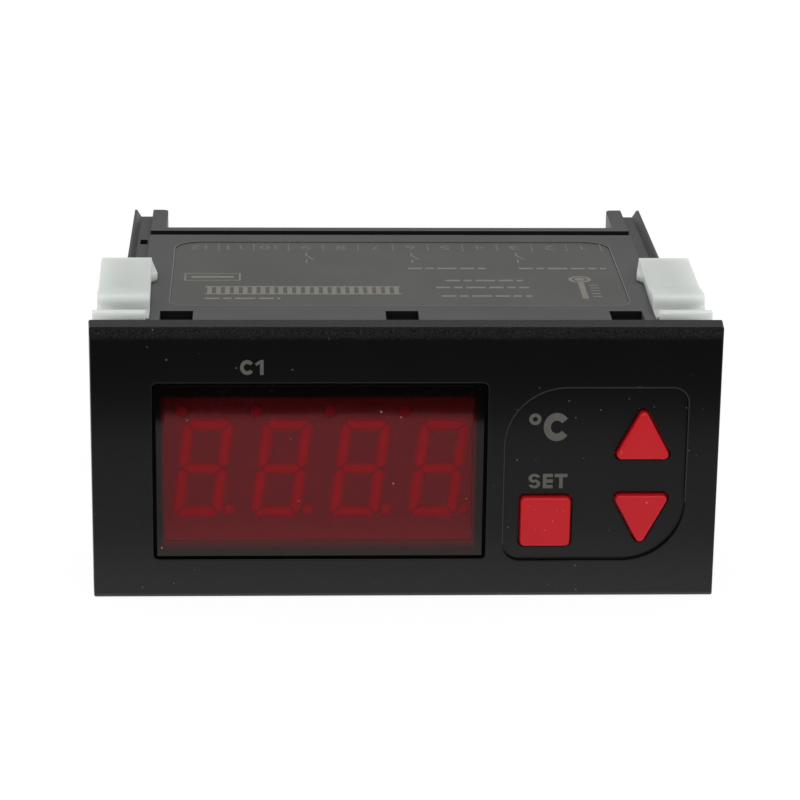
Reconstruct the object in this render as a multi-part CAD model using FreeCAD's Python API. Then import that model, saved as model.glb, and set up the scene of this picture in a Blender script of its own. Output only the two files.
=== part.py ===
import FreeCAD, Part
import math
import os

# An on-off temperature controller for mounting in a panel, built piece by piece.
# Millimetres. +X points right as seen from the front, +Y to the rear and +Z up.
# The origin is the centre of the bezel's back face, which seats on the panel.

# Clearances
FIT_GAP = 0.1          # between pieces that are fitted together and stay put
RUN_GAP = 0.3          # between pieces that move past each other

# Terminal block, which sets the housing's width
TERMINAL_WAYS = 12
TERMINAL_PITCH = 5.0
BLOCK_SIDE_GAP = 1.0   # from the block to the ear at each side
REAR_WINDOW_GAP = 0.2  # around the block where it passes the rear wall
BLOCK_INSIDE_L = 5.5   # reach of the block inside the rear wall
BLOCK_SETBACK = 1.0    # from the ends of the ears to the back of the block
BLOCK_DROP = 3.75      # from the housing's top to the block's top
BLOCK_GROOVE_W = 0.5
BLOCK_GROOVE_DEPTH = 0.4
WIRE_W = 3.6
WIRE_H = 4.6
WIRE_DEPTH = 9.0
WIRE_FLOOR_T = 2.0
CLAMP_L = 5.0
CLAMP_WALL_T = 0.7
CLAMP_TOP_T = 1.2
SCREW_INSET = 4.6
SCREW_HEAD_D = 3.4
SCREW_HEAD_H = 2.0
SCREW_HEAD_LIFT = 1.2
SCREW_SHANK_D = 2.0
SCREW_SHANK_REACH = 0.6
SCREW_SLOT_W = 0.7
SCREW_SLOT_DEPTH = 0.8

# Housing
HOUSING_H = 28.5
HOUSING_L = 54.2
WALL_T = 1.6
SIDE_WALL_T = 1.8
REAR_WALL_T = 1.7
EAR_T = 2.1
EAR_L = 9.4
EAR_END_R = 0.8
RAIL_W = 2.6
RAIL_DEPTH = 1.0
RAIL_FLOOR_T = 1.2
LIP_TOP_T = 0.3
LIP_BASE_T = 0.9
COLLAR_L = 2.4
COLLAR_WALL_T = 1.4
COLLAR_BACK_T = 1.2
SLOT_L = 2.1
LABEL_W = 59.0
LABEL_L = 30.2
LABEL_DEPTH = 0.35
LABEL_REAR_GAP = 3.5
LABEL_REAR_R = 3.3
LABEL_FRONT_R = 2.0
SNAP_PITCH = 28.45
SNAP_W = 4.15
SNAP_L = 5.0
SNAP_BACK = 14.4
RAIL_HOLE_W = 1.0
RAIL_HOLE_L = 2.3
RAIL_HOLE_LEAD = 1.3   # how far the small hole in the left rail starts ahead of the slot
RACK_PITCH = 2.0
RACK_TOOTH_H = 0.6
RACK_H = 6.0
RACK_START = 6.0
GROOVE_RIB_W = 1.0
GROOVE_RIB_T = 1.0

# Bezel
SEAT_LAP = 2.8         # how far the face reaches past the housing at each side
SIDE_FLARE = 0.25      # how much further the back edge reaches
PLATE_H = 35.0
PLATE_T = 3.2
PLATE_CORNER_R = 0.25
FACE_EDGE_R = 0.2
TOP_BAND_H = 1.45
TOP_BAND_DROP = 0.25
SEAT_DEPTH = 0.5
RIB_T = 1.2
RIB_BACK = 2.0
TONGUE_SIDE_GAP = 0.3
TONGUE_T = 1.0
HOOK_H = 1.1
HOOK_END_GAP = 0.5
FINGER_W = 3.0
FINGER_LEFT_X = -14.0
FINGER_RIGHT_X = 11.6
FINGER_LEDGE_L = 1.2
FINGER_GRIP = 0.6
FINGER_HOOK_L = 0.8

# Display window
WINDOW_W = 41.05
WINDOW_H = 22.95
WINDOW_KEYPAD_GAP = 2.1
WINDOW_Z = -1.1
WINDOW_CORNER_R = 0.7
WINDOW_EDGE_R = 0.15
LENS_GAP = 0.36
LENS_RECESS = 0.15
LENS_T = 1.5
LENS_EDGE_R = 0.2

# Keypad and keys
KEYPAD_W = 22.55
KEYPAD_H = 22.65
KEYPAD_X = 23.35
KEYPAD_Z = -1.52
KEYPAD_DEPTH = 0.6
KEYPAD_WALL_T = 1.0
KEYPAD_EDGE_R = 0.12
KEYPAD_TOP_LEFT_R = 7.6
KEYPAD_TOP_RIGHT_R = 2.0
KEYPAD_LOW_RIGHT_R = 7.8
KEYPAD_LOW_LEFT_R = 2.2
KEY_PROUD = 0.9
KEY_CORNER_R = 0.6
KEY_EDGE_R = 0.4
KEY_FLANGE_W = 0.35
KEY_FLANGE_T = 0.6
KEY_TRAVEL = 0.4
ARROW_W = 7.2
ARROW_H = 6.8
ARROW_X = 29.16
UP_KEY_BASE_Z = 0.5
DOWN_KEY_BASE_Z = -4.2
SET_KEY_W = 6.2
SET_KEY_H = 6.4
SET_KEY_X = 17.33
SET_KEY_Z = -7.68
ARROW_STEM_X = 28.4
STEM_D = 2.2
STEM_FROM_BASE = 2.2   # from an arrow's base line to its stem

# Tact switches
SWITCH_W = 4.5
SWITCH_H = 2.5
PLUNGER_D = 2.2
PLUNGER_OUT = 0.7
PLUNGER_IN = 1.2

# LED display
LED_W = 37.9
LED_H = 19.1
LED_D = 7.0
LED_X = -10.7
LED_Z = -1.15
LED_LENS_GAP = 0.25
DIGIT_COUNT = 4
DIGIT_W = 5.95
DIGIT_H = 12.5
DIGIT_LEFT_MARGIN = 1.7    # from the LED block's left edge to the first digit
DIGIT_RIGHT_MARGIN = 1.18
DIGIT_ROW_DROP = 0.08
DIGIT_SLANT = 7.4
SEGMENT_T = 1.35
SEGMENT_GAP = 0.22
SEGMENT_DEPTH = 0.5
POINT_SIZE = 1.3
POINT_GAP = 0.3        # from a digit's edge to its decimal point
LIGHT_D = 1.4
LIGHT_LEFT_MARGIN = 2.2    # from the LED block's left edge to the middle of the first light
LIGHT_RIGHT_MARGIN = 8.46
LIGHT_ABOVE_DIGITS = 1.1
LIGHT_GAP = 0.05
LED_PIN_W = 0.5
LED_PIN_PITCH = 6.0
LED_PIN_COUNT = 6
LED_PIN_ROW = 7.6
LED_PIN_OUT = 0.9

# Boards and what they carry
BOARD_T = 1.6
BOARD_EDGE_GAP = 0.3
DISPLAY_BOARD_H = 21.8
BOARD_SPACING = 1.2    # from the display board to the main board
MAIN_BOARD_TOP_Z = -3.5
CONTROLLER_W = 8.5
CONTROLLER_T = 1.4
CONTROLLER_X = -15.0
CONTROLLER_LIFT = 0.8
HEADER_PINS = 6
HEADER_PITCH = 2.54
HEADER_D = 2.5
HEADER_SETBACK = 0.5
HEADER_PIN_W = 0.64
HEADER_PIN_OUT = 0.7
PART_GAP = 2.0         # between neighbours on the main board
BOARD_MARGIN = 2.0
TRANSFORMER_W = 20.0
TRANSFORMER_L = 27.0
TRANSFORMER_HEADROOM = 2.4
TRANSFORMER_CORNER_R = 1.5
RELAY_W = 12.5
RELAY_L = 28.0
RELAY_HEADROOM = 3.0
RELAY_CORNER_R = 0.8
SMOOTHING_D = 8.0
SMOOTHING_H = 11.0
SMOOTHING_EDGE_R = 0.6
FILM_W = 5.0
FILM_L = 13.0
FILM_H = 9.5
VARISTOR_D = 9.0
VARISTOR_T = 4.0
VARISTOR_SINK = 0.8    # foot of the disc, cut flat where it stands
DIODE_COUNT = 4
DIODE_D = 2.6
DIODE_L = 5.2
DIODE_PITCH = 3.2
DIODE_FLAT = 0.3
REGULATOR_W = 6.5
REGULATOR_L = 6.0
REGULATOR_H = 2.3

# Fixing clips
CLIP_STANDOFF = 8.7    # from the panel's seat to the clip's front bar at rest
CLIP_BAR_T = 1.1
CLIP_NECK_L = 3.6
CLIP_NECK_T = 0.5
CLIP_SLIDER_L = 20.2
CLIP_SPLAY = 0.45      # how far the slider spreads outwards towards its rear end
CLIP_ARM_T = 1.3
CLIP_HUMP_H = 0.65
CLIP_HUMP_TOP_L = 1.4
CLIP_HUMP_L = 6.6
CLIP_HUMP_R = 0.8
CLIP_NECK_R = 0.5
CLIP_BLEND_R = 4.0
CLIP_EDGE_R = 0.3
CLIP_REAR_R = 0.7
CLIP_OVERHANG = 1.3
CLIP_SIDE_GAP = 0.7
CLIP_WALL_T = 2.0
CLIP_BAR_SHIFT = 0.4
CLIP_HOOK_GAP = 0.35
CLIP_HOOK_SETBACK = 1.0
CLIP_NECK_RIB_H = 2.5
CLIP_NIB_OUT = 0.8
CLIP_NIB_T = 1.0
CLIP_NIB_RAMP_L = 6.0
CLIP_NIB_END_L = 1.4
CLIP_PAWL_W = 5.0
CLIP_PAWL_L = 2.4
CLIP_TONGUE_L = 11.0
CLIP_TONGUE_SLOT = 0.8
CLIP_TONGUE_SETBACK = 3.0
CLIP_GRIP_COUNT = 4
CLIP_GRIP_OUT = 0.3
CLIP_GRIP_PITCH = 1.5
CLIP_GRIP_T = 0.7
CLIP_GRIP_H = 12.0
CLIP_GRIP_SETBACK = 1.2

# Places that follow from the sizes above
block_half = TERMINAL_WAYS * TERMINAL_PITCH / 2
ear_in = block_half + BLOCK_SIDE_GAP
side_out = ear_in + EAR_T
side_in = side_out - SIDE_WALL_T
housing_half = side_out + RAIL_W
top_z = HOUSING_H / 2
inner_top = top_z - WALL_T
rail_floor = top_z - RAIL_DEPTH
housing_end = HOUSING_L + EAR_L
rear_wall_front = HOUSING_L - REAR_WALL_T
slot_front = rear_wall_front - SLOT_L
plate_half = housing_half + SEAT_LAP
face_y = -PLATE_T
window_right = KEYPAD_X - KEYPAD_W / 2 - WINDOW_KEYPAD_GAP
window_x = window_right - WINDOW_W / 2
lens_front = face_y + LENS_RECESS
lens_back = lens_front + LENS_T
led_front = lens_back + LED_LENS_GAP
led_back = led_front + LED_D
led_left = LED_X - LED_W / 2
digit_pitch = (LED_W - DIGIT_LEFT_MARGIN - DIGIT_RIGHT_MARGIN - DIGIT_W) / (DIGIT_COUNT - 1)
digit_xs = [led_left + DIGIT_LEFT_MARGIN + DIGIT_W / 2 + i * digit_pitch for i in range(DIGIT_COUNT)]
digit_row_z = LED_Z - DIGIT_ROW_DROP
light_pitch = (LED_W - LIGHT_LEFT_MARGIN - LIGHT_RIGHT_MARGIN) / (DIGIT_COUNT - 1)
light_xs = [led_left + LIGHT_LEFT_MARGIN + i * light_pitch for i in range(DIGIT_COUNT)]
display_board_back = led_back + BOARD_T
keypad_floor = face_y + KEYPAD_DEPTH
keypad_wall_back = keypad_floor + KEYPAD_WALL_T
key_reach = RUN_GAP + KEY_FLANGE_W
key_flange_front = keypad_wall_back + RUN_GAP
key_flange_back = key_flange_front + KEY_FLANGE_T
switch_front = led_back - SWITCH_H
plunger_front = switch_front - PLUNGER_OUT
board_half = side_in - BOARD_EDGE_GAP
main_board_front = display_board_back + BOARD_SPACING
main_board_back = rear_wall_front - BOARD_EDGE_GAP
block_front = rear_wall_front - BLOCK_INSIDE_L
block_back = housing_end - BLOCK_SETBACK
block_top = top_z - BLOCK_DROP
wire_low = MAIN_BOARD_TOP_Z + WIRE_FLOOR_T
wire_high = wire_low + WIRE_H
screw_y = block_back - SCREW_INSET
way_xs = [(i - (TERMINAL_WAYS - 1) / 2) * TERMINAL_PITCH for i in range(TERMINAL_WAYS)]
snap_xs = [-SNAP_PITCH, 0.0, SNAP_PITCH]
BEYOND = 1.0           # how far a cutting shape runs past the face it opens


def box(x0, x1, y0, y1, z0, z1):
    """A block between two corners."""
    return Part.makeBox(x1 - x0, y1 - y0, z1 - z0, FreeCAD.Vector(x0, y0, z0))


def rod(diameter, start, end):
    """A cylinder from one point to another."""
    axis = FreeCAD.Vector(*end) - FreeCAD.Vector(*start)
    return Part.makeCylinder(diameter / 2, axis.Length, FreeCAD.Vector(*start), axis)


def in_plane(plane, a, b, level):
    """A point of a flat outline, in the plane xy, xz or yz at the given level."""
    if plane == "xy":
        return FreeCAD.Vector(a, b, level)
    if plane == "xz":
        return FreeCAD.Vector(a, level, b)
    return FreeCAD.Vector(level, a, b)


def outline(points, radii, plane, level):
    """A closed wire through the points, each corner rounded to its own radius."""
    corners = []
    count = len(points)
    for i in range(count):
        here = FreeCAD.Vector(*points[i], 0)
        if radii[i] == 0:
            corners.append((here, here, here, 0))
            continue
        before = (FreeCAD.Vector(*points[i - 1], 0) - here).normalize()
        after = (FreeCAD.Vector(*points[(i + 1) % count], 0) - here).normalize()
        half = before.getAngle(after) / 2
        reach = radii[i] / math.tan(half)
        middle = here + (before + after).normalize() * (radii[i] / math.sin(half) - radii[i])
        corners.append((here + before * reach, middle, here + after * reach, radii[i]))
    edges = []
    for i in range(count):
        start, middle, end, radius = corners[i]
        following = corners[(i + 1) % count][0]
        flat = [in_plane(plane, p.x, p.y, level) for p in (start, middle, end, following)]
        if radius > 0:
            edges.append(Part.Arc(flat[0], flat[1], flat[2]).toShape())
        if (flat[3] - flat[2]).Length > 1e-6:
            edges.append(Part.makeLine(flat[2], flat[3]))
    return Part.Wire(edges)


def prism(points, radii, plane, level, length):
    """A solid with the given outline, grown by a length along the third axis."""
    if not isinstance(radii, list):
        radii = [radii] * len(points)
    direction = in_plane(plane, 0, 0, length)
    return Part.Face(outline(points, radii, plane, level)).extrude(direction)


def rectangle(x, z, width, height):
    """The corners of a rectangle about a centre."""
    right, left = x + width / 2, x - width / 2
    top, low = z + height / 2, z - height / 2
    return [(left, low), (right, low), (right, top), (left, top)]


def grown(points, distance):
    """A convex outline with every side moved outwards by a distance."""
    count = len(points)
    centre = (sum(p[0] for p in points) / count, sum(p[1] for p in points) / count)
    sides = []
    for i in range(count):
        (ax, ay), (bx, by) = points[i], points[(i + 1) % count]
        length = math.hypot(bx - ax, by - ay)
        nx, ny = (by - ay) / length, (ax - bx) / length
        if nx * (ax - centre[0]) + ny * (ay - centre[1]) < 0:
            nx, ny = -nx, -ny
        sides.append((nx, ny, nx * ax + ny * ay + distance))
    result = []
    for i in range(count):
        (a1, b1, c1), (a2, b2, c2) = sides[i - 1], sides[i]
        det = a1 * b2 - a2 * b1
        result.append(((c1 * b2 - c2 * b1) / det, (a1 * c2 - a2 * c1) / det))
    return result


def soften(shape, radius, chosen):
    """The shape with the edges that pass a test rounded."""
    return shape.makeFillet(radius, [edge for edge in shape.Edges if chosen(edge)])


def lies_at(edge, axis, value):
    """Whether a whole edge lies at one value of the axis x, y or z."""
    bounds = edge.BoundBox
    low, high = {"x": (bounds.XMin, bounds.XMax), "y": (bounds.YMin, bounds.YMax),
                 "z": (bounds.ZMin, bounds.ZMax)}[axis]
    return abs(low - value) < 1e-4 and abs(high - value) < 1e-4


def both_sides(shape, normal):
    """A shape fused with its mirror image across the origin."""
    image = shape.mirror(FreeCAD.Vector(0, 0, 0), FreeCAD.Vector(*normal))
    return shape.fuse(image)


def joined(shapes):
    """One clean solid from pieces that touch or overlap."""
    return shapes[0].fuse(shapes[1:]).removeSplitter()


# Outlines of the three keys, seen from the front
up_outline = [(ARROW_X - ARROW_W / 2, UP_KEY_BASE_Z), (ARROW_X + ARROW_W / 2, UP_KEY_BASE_Z),
              (ARROW_X, UP_KEY_BASE_Z + ARROW_H)]
down_outline = [(ARROW_X - ARROW_W / 2, DOWN_KEY_BASE_Z), (ARROW_X, DOWN_KEY_BASE_Z - ARROW_H),
                (ARROW_X + ARROW_W / 2, DOWN_KEY_BASE_Z)]
set_outline = rectangle(SET_KEY_X, SET_KEY_Z, SET_KEY_W, SET_KEY_H)
KEYS = {
    "up": (up_outline, (ARROW_STEM_X, UP_KEY_BASE_Z + STEM_FROM_BASE)),
    "down": (down_outline, (ARROW_STEM_X, DOWN_KEY_BASE_Z - STEM_FROM_BASE)),
    "set": (set_outline, (SET_KEY_X, SET_KEY_Z)),
}


def snap_tongue(x):
    """One springy tongue of the bezel, with a hook that catches a housing window."""
    outer = inner_top - FIT_GAP
    half = SNAP_W / 2 - TONGUE_SIDE_GAP
    end = SNAP_BACK - HOOK_END_GAP
    catch = SNAP_BACK - SNAP_L + FIT_GAP
    strip = box(x - half, x + half, -SEAT_DEPTH, end, outer - TONGUE_T, outer)
    hook = prism([(catch, outer - TONGUE_T / 2), (end, outer - TONGUE_T / 2), (end, outer),
                  (catch, outer + HOOK_H)], 0, "yz", x - half, 2 * half)
    return strip.fuse(hook)


def board_finger(x, side):
    """One finger of the bezel that holds the edge of the display board."""
    edge = DISPLAY_BOARD_H / 2 + FIT_GAP
    outer = inner_top - FIT_GAP
    half = FINGER_W / 2
    inner = DISPLAY_BOARD_H / 2 - FINGER_GRIP
    bar = box(x - half, x + half, -SEAT_DEPTH, display_board_back + FINGER_HOOK_L, edge, outer)
    ledge = box(x - half, x + half, led_back - FINGER_LEDGE_L, led_back, inner, outer)
    hook = box(x - half, x + half, display_board_back, display_board_back + FINGER_HOOK_L, inner, outer)
    finger = bar.fuse([ledge, hook])
    if side < 0:
        finger = finger.mirror(FreeCAD.Vector(0, 0, 0), FreeCAD.Vector(0, 0, 1))
    return finger


def make_bezel():
    """The front moulding: plate, window, keypad recess, key holes, tongues and fingers."""
    half_h = PLATE_H / 2
    back_half = plate_half + SIDE_FLARE
    plan = [(-plate_half, face_y), (plate_half, face_y), (back_half, 0), (-back_half, 0)]
    plate = prism(plan, 0, "xy", -half_h, PLATE_H)
    plate = soften(plate, PLATE_CORNER_R, lambda edge: edge.BoundBox.YLength > PLATE_T / 2)
    plate = soften(plate, FACE_EDGE_R, lambda edge: lies_at(edge, "y", face_y))
    band_slope = TOP_BAND_DROP / TOP_BAND_H
    band = prism([(face_y, half_h - TOP_BAND_H), (face_y - BEYOND, half_h - TOP_BAND_H),
                  (face_y - BEYOND, half_h + BEYOND),
                  (face_y + TOP_BAND_DROP + BEYOND * band_slope, half_h + BEYOND)],
                 0, "yz", -back_half - BEYOND, 2 * (back_half + BEYOND))
    plate = plate.cut(band)
    seat = box(-housing_half - FIT_GAP, housing_half + FIT_GAP, -SEAT_DEPTH, BEYOND,
               -top_z - FIT_GAP, top_z + FIT_GAP)
    lens_bed = prism(rectangle(window_x, WINDOW_Z, WINDOW_W, WINDOW_H), WINDOW_CORNER_R, "xz",
                     face_y - BEYOND, lens_back - face_y + BEYOND)
    led_room = prism(rectangle(LED_X, LED_Z, LED_W + 2 * RUN_GAP, LED_H + 2 * RUN_GAP), 0, "xz",
                     lens_back, PLATE_T)
    keypad = prism(rectangle(KEYPAD_X, KEYPAD_Z, KEYPAD_W, KEYPAD_H),
                   [KEYPAD_LOW_LEFT_R, KEYPAD_LOW_RIGHT_R, KEYPAD_TOP_RIGHT_R, KEYPAD_TOP_LEFT_R],
                   "xz", face_y - BEYOND, BEYOND + KEYPAD_DEPTH)
    plate = plate.cut(lens_bed).cut(keypad)

    def rim(edge):
        """Whether an edge bounds the window or the keypad on the face."""
        bounds = edge.BoundBox
        inside = abs(bounds.Center.x) < plate_half - FACE_EDGE_R - 1e-3
        low = bounds.ZMin > FACE_EDGE_R - half_h + 1e-3
        return lies_at(edge, "y", face_y) and inside and low and bounds.ZMax < half_h - TOP_BAND_H - 1e-3

    plate = soften(plate, WINDOW_EDGE_R,
                   lambda edge: rim(edge) and edge.BoundBox.XMax < window_right + 1e-3)
    plate = soften(plate, KEYPAD_EDGE_R,
                   lambda edge: rim(edge) and edge.BoundBox.XMin > window_right + WINDOW_EDGE_R + 1e-3)
    pocket_reach = key_reach + RUN_GAP
    pockets = [prism(grown(points, pocket_reach), KEY_CORNER_R + pocket_reach, "xz",
                     keypad_wall_back, RIB_BACK + BEYOND - keypad_wall_back)
               for points, stem in KEYS.values()]
    holes = [prism(grown(points, RUN_GAP), KEY_CORNER_R + RUN_GAP, "xz",
                   face_y - BEYOND, PLATE_T + 2 * BEYOND)
             for points, stem in KEYS.values()]
    plate = plate.cut([seat, led_room] + pockets + holes)
    rib_outer = inner_top - FIT_GAP
    rib = box(-board_half, board_half, -SEAT_DEPTH - FIT_GAP, RIB_BACK, rib_outer - RIB_T, rib_outer)
    ribs = both_sides(rib, (0, 0, 1)).cut([led_room] + pockets)
    tongues = [both_sides(snap_tongue(x), (0, 0, 1)) for x in snap_xs]
    fingers = [board_finger(x, side) for x, side in
               ((FINGER_LEFT_X, 1), (FINGER_RIGHT_X, 1), (FINGER_RIGHT_X, -1))]
    return joined([plate, ribs] + tongues + fingers)


def make_lens():
    """The tinted window, bonded in the recess in front of the LED display."""
    plate = prism(rectangle(window_x, WINDOW_Z, WINDOW_W - 2 * LENS_GAP, WINDOW_H - 2 * LENS_GAP),
                  WINDOW_CORNER_R - LENS_GAP / 2, "xz", lens_front, LENS_T)
    return soften(plate, LENS_EDGE_R, lambda edge: lies_at(edge, "y", lens_front))


def make_key(points, stem):
    """A key with its retaining flange and the stem that works its switch."""
    front = keypad_floor - KEY_PROUD
    cap = prism(points, KEY_CORNER_R, "xz", front, key_flange_back - front)
    cap = soften(cap, KEY_EDGE_R, lambda edge: lies_at(edge, "y", front))
    flange = prism(grown(points, key_reach), KEY_CORNER_R + key_reach, "xz", key_flange_front, KEY_FLANGE_T)
    post = rod(STEM_D, (stem[0], key_flange_front, stem[1]), (stem[0], plunger_front, stem[1]))
    return joined([cap, flange, post])


def make_switch(stem):
    """The body of a tact switch, with a well for its plunger."""
    half = SWITCH_W / 2
    body = box(stem[0] - half, stem[0] + half, switch_front, led_back, stem[1] - half, stem[1] + half)
    depth = PLUNGER_IN + KEY_TRAVEL + RUN_GAP
    well = rod(PLUNGER_D + 2 * RUN_GAP, (stem[0], switch_front - BEYOND, stem[1]),
               (stem[0], switch_front + depth, stem[1]))
    return body.cut(well)


def make_plunger(stem):
    """The plunger of a tact switch, touched by the key's stem."""
    return rod(PLUNGER_D, (stem[0], plunger_front, stem[1]), (stem[0], switch_front + PLUNGER_IN, stem[1]))


def segment_outlines():
    """Outlines of all segments of the digits, as (x, z) points on the LED face."""
    lean = math.tan(math.radians(DIGIT_SLANT))
    half_t = SEGMENT_T / 2
    across = DIGIT_W / 2 - half_t
    up = DIGIT_H / 2 - half_t
    trim = half_t + SEGMENT_GAP / 2
    nodes = [((-across, up), (across, up)), ((-across, 0), (across, 0)), ((-across, -up), (across, -up)),
             ((-across, 0), (-across, up)), ((across, 0), (across, up)),
             ((-across, -up), (-across, 0)), ((across, -up), (across, 0))]
    result = []
    for centre in digit_xs:
        for (ax, az), (bx, bz) in nodes:
            if az == bz:
                flat = [(ax + SEGMENT_GAP / 2, az), (ax + trim, az - half_t), (bx - trim, az - half_t),
                        (bx - SEGMENT_GAP / 2, az), (bx - trim, az + half_t), (ax + trim, az + half_t)]
            else:
                flat = [(ax, az + SEGMENT_GAP / 2), (ax + half_t, az + trim), (ax + half_t, bz - trim),
                        (ax, bz - SEGMENT_GAP / 2), (ax - half_t, bz - trim), (ax - half_t, az + trim)]
            result.append([(centre + x + lean * z, digit_row_z + z) for x, z in flat])
    return result


def point_outlines():
    """Outlines of the decimal points at the foot of each digit."""
    lean = math.tan(math.radians(DIGIT_SLANT))
    z = -DIGIT_H / 2 + POINT_SIZE / 2 + SEGMENT_GAP
    result = []
    for centre in digit_xs:
        x = centre + DIGIT_W / 2 + POINT_GAP + POINT_SIZE / 2
        corners = rectangle(x, z, POINT_SIZE, POINT_SIZE)
        result.append([(a + lean * b, digit_row_z + b) for a, b in corners])
    return result


def inlay(points):
    """A flush piece set in the LED face."""
    return prism(points, 0, "xz", led_front, SEGMENT_DEPTH)


def indicator_lights(diameter):
    """The row of round lights above the digits, or the wells that they sit in."""
    z = digit_row_z + DIGIT_H / 2 + LIGHT_ABOVE_DIGITS
    return [rod(diameter, (x, led_front, z), (x, led_front + SEGMENT_DEPTH, z)) for x in light_xs]


def led_pins(reach):
    """The two rows of square pins of the LED display."""
    half = LED_PIN_W / 2
    pins = []
    for i in range(LED_PIN_COUNT):
        x = LED_X + (i - (LED_PIN_COUNT - 1) / 2) * LED_PIN_PITCH
        for z in (LED_Z - LED_PIN_ROW, LED_Z + LED_PIN_ROW):
            pins.append(box(x - half, x + half, led_back, led_back + reach, z - half, z + half))
    return pins


def make_led_display():
    """The block that carries the digits, open for its inlays."""
    body = prism(rectangle(LED_X, LED_Z, LED_W, LED_H), 0, "xz", led_front, LED_D)
    wells = [inlay(points) for points in segment_outlines() + point_outlines()]
    return body.cut(wells + indicator_lights(LIGHT_D + 2 * LIGHT_GAP))


header_x = board_half - BOARD_MARGIN - HEADER_PINS * HEADER_PITCH / 2
header_z = MAIN_BOARD_TOP_Z + HEADER_D / 2
header_front = main_board_front + HEADER_SETBACK


def header_pins():
    """The pins that join the two boards."""
    half = HEADER_PIN_W / 2
    pins = []
    for i in range(HEADER_PINS):
        x = header_x + (i - (HEADER_PINS - 1) / 2) * HEADER_PITCH
        pins.append(box(x - half, x + half, led_back - HEADER_PIN_OUT, header_front + HEADER_D,
                        header_z - half, header_z + half))
    return pins


def make_header():
    """The plastic strip that holds the pins between the boards."""
    half = HEADER_PINS * HEADER_PITCH / 2
    strip = box(header_x - half, header_x + half, header_front, header_front + HEADER_D,
                MAIN_BOARD_TOP_Z, MAIN_BOARD_TOP_Z + HEADER_D)
    return strip.cut(header_pins())


def make_display_board():
    """The upright board behind the bezel, pierced for both sets of pins."""
    half = DISPLAY_BOARD_H / 2
    board = box(-board_half, board_half, led_back, display_board_back, -half, half)
    return board.cut(led_pins(BOARD_T) + header_pins())


def make_controller():
    """The processor on the back of the display board, above the main board."""
    middle = MAIN_BOARD_TOP_Z + CONTROLLER_LIFT + CONTROLLER_W / 2
    return prism(rectangle(CONTROLLER_X, middle, CONTROLLER_W, CONTROLLER_W), 0, "xz",
                 display_board_back, CONTROLLER_T)


def make_main_board():
    """The lying board that slides in the housing's grooves."""
    return box(-board_half, board_half, main_board_front, main_board_back,
               MAIN_BOARD_TOP_Z - BOARD_T, MAIN_BOARD_TOP_Z)


def upright_block(x, y, width, length, height, corner):
    """A block that stands on the main board, with rounded upright corners."""
    points = rectangle(x + width / 2, y - length / 2, width, length)
    return prism(points, corner, "xy", MAIN_BOARD_TOP_Z, height)


# Columns of parts on the main board, from left to right, all ending before the terminal block
parts_back = block_front - PART_GAP
room_h = inner_top - MAIN_BOARD_TOP_Z
transformer_x = -board_half + BOARD_MARGIN
relay_x = transformer_x + TRANSFORMER_W + PART_GAP
smoothing_x = relay_x + RELAY_W + PART_GAP
film_x = smoothing_x + SMOOTHING_D + PART_GAP


def make_smoothing_capacitor():
    """The upright can on the main board."""
    x, y = smoothing_x + SMOOTHING_D / 2, parts_back - SMOOTHING_D / 2
    can = rod(SMOOTHING_D, (x, y, MAIN_BOARD_TOP_Z), (x, y, MAIN_BOARD_TOP_Z + SMOOTHING_H))
    return soften(can, SMOOTHING_EDGE_R, lambda edge: lies_at(edge, "z", MAIN_BOARD_TOP_Z + SMOOTHING_H))


def make_varistor():
    """The coated disc that stands on edge in front of the film capacitor."""
    y = parts_back - FILM_L - PART_GAP - VARISTOR_D / 2
    z = MAIN_BOARD_TOP_Z + VARISTOR_D / 2 - VARISTOR_SINK
    disc = rod(VARISTOR_D, (film_x, y, z), (film_x + VARISTOR_T, y, z))
    below = box(film_x - BEYOND, film_x + VARISTOR_T + BEYOND, y - VARISTOR_D, y + VARISTOR_D,
                MAIN_BOARD_TOP_Z - VARISTOR_D, MAIN_BOARD_TOP_Z)
    return disc.cut(below)


def make_regulator():
    """The flat voltage regulator in front of the smoothing capacitor."""
    y = parts_back - SMOOTHING_D - PART_GAP
    return upright_block(smoothing_x, y, REGULATOR_W, REGULATOR_L, REGULATOR_H, 0)


def make_diodes():
    """The rectifier's diodes, lying side by side in front of the regulator."""
    z = MAIN_BOARD_TOP_Z + DIODE_D / 2 - DIODE_FLAT
    first_y = parts_back - SMOOTHING_D - REGULATOR_L - 2 * PART_GAP - DIODE_D / 2
    diodes = []
    for i in range(DIODE_COUNT):
        y = first_y - i * DIODE_PITCH
        body = rod(DIODE_D, (smoothing_x, y, z), (smoothing_x + DIODE_L, y, z))
        below = box(smoothing_x - BEYOND, smoothing_x + DIODE_L + BEYOND, y - DIODE_D, y + DIODE_D,
                    MAIN_BOARD_TOP_Z - DIODE_D, MAIN_BOARD_TOP_Z)
        diodes.append(body.cut(below))
    return Part.makeCompound(diodes)


def make_terminal_block():
    """The block of screw terminals that reaches out through the rear wall."""
    body = box(-block_half, block_half, block_front, block_back, MAIN_BOARD_TOP_Z, block_top)
    well = SCREW_HEAD_D + 2 * RUN_GAP
    cuts = []
    for x in way_xs:
        half = WIRE_W / 2
        cuts.append(box(x - half, x + half, block_back - WIRE_DEPTH, block_back + BEYOND,
                        wire_low, wire_high))
        cuts.append(rod(well, (x, screw_y, wire_high - BEYOND), (x, screw_y, block_top + BEYOND)))
    for x in way_xs[1:]:
        middle = x - TERMINAL_PITCH / 2
        half = BLOCK_GROOVE_W / 2
        cuts.append(box(middle - half, middle + half, block_back - BLOCK_GROOVE_DEPTH, block_back + BEYOND,
                        MAIN_BOARD_TOP_Z - BEYOND, block_top + BEYOND))
        cuts.append(box(middle - half, middle + half, HOUSING_L + BEYOND, block_back + BEYOND,
                        block_top - BLOCK_GROOVE_DEPTH, block_top + BEYOND))
    return body.cut(cuts)


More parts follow.
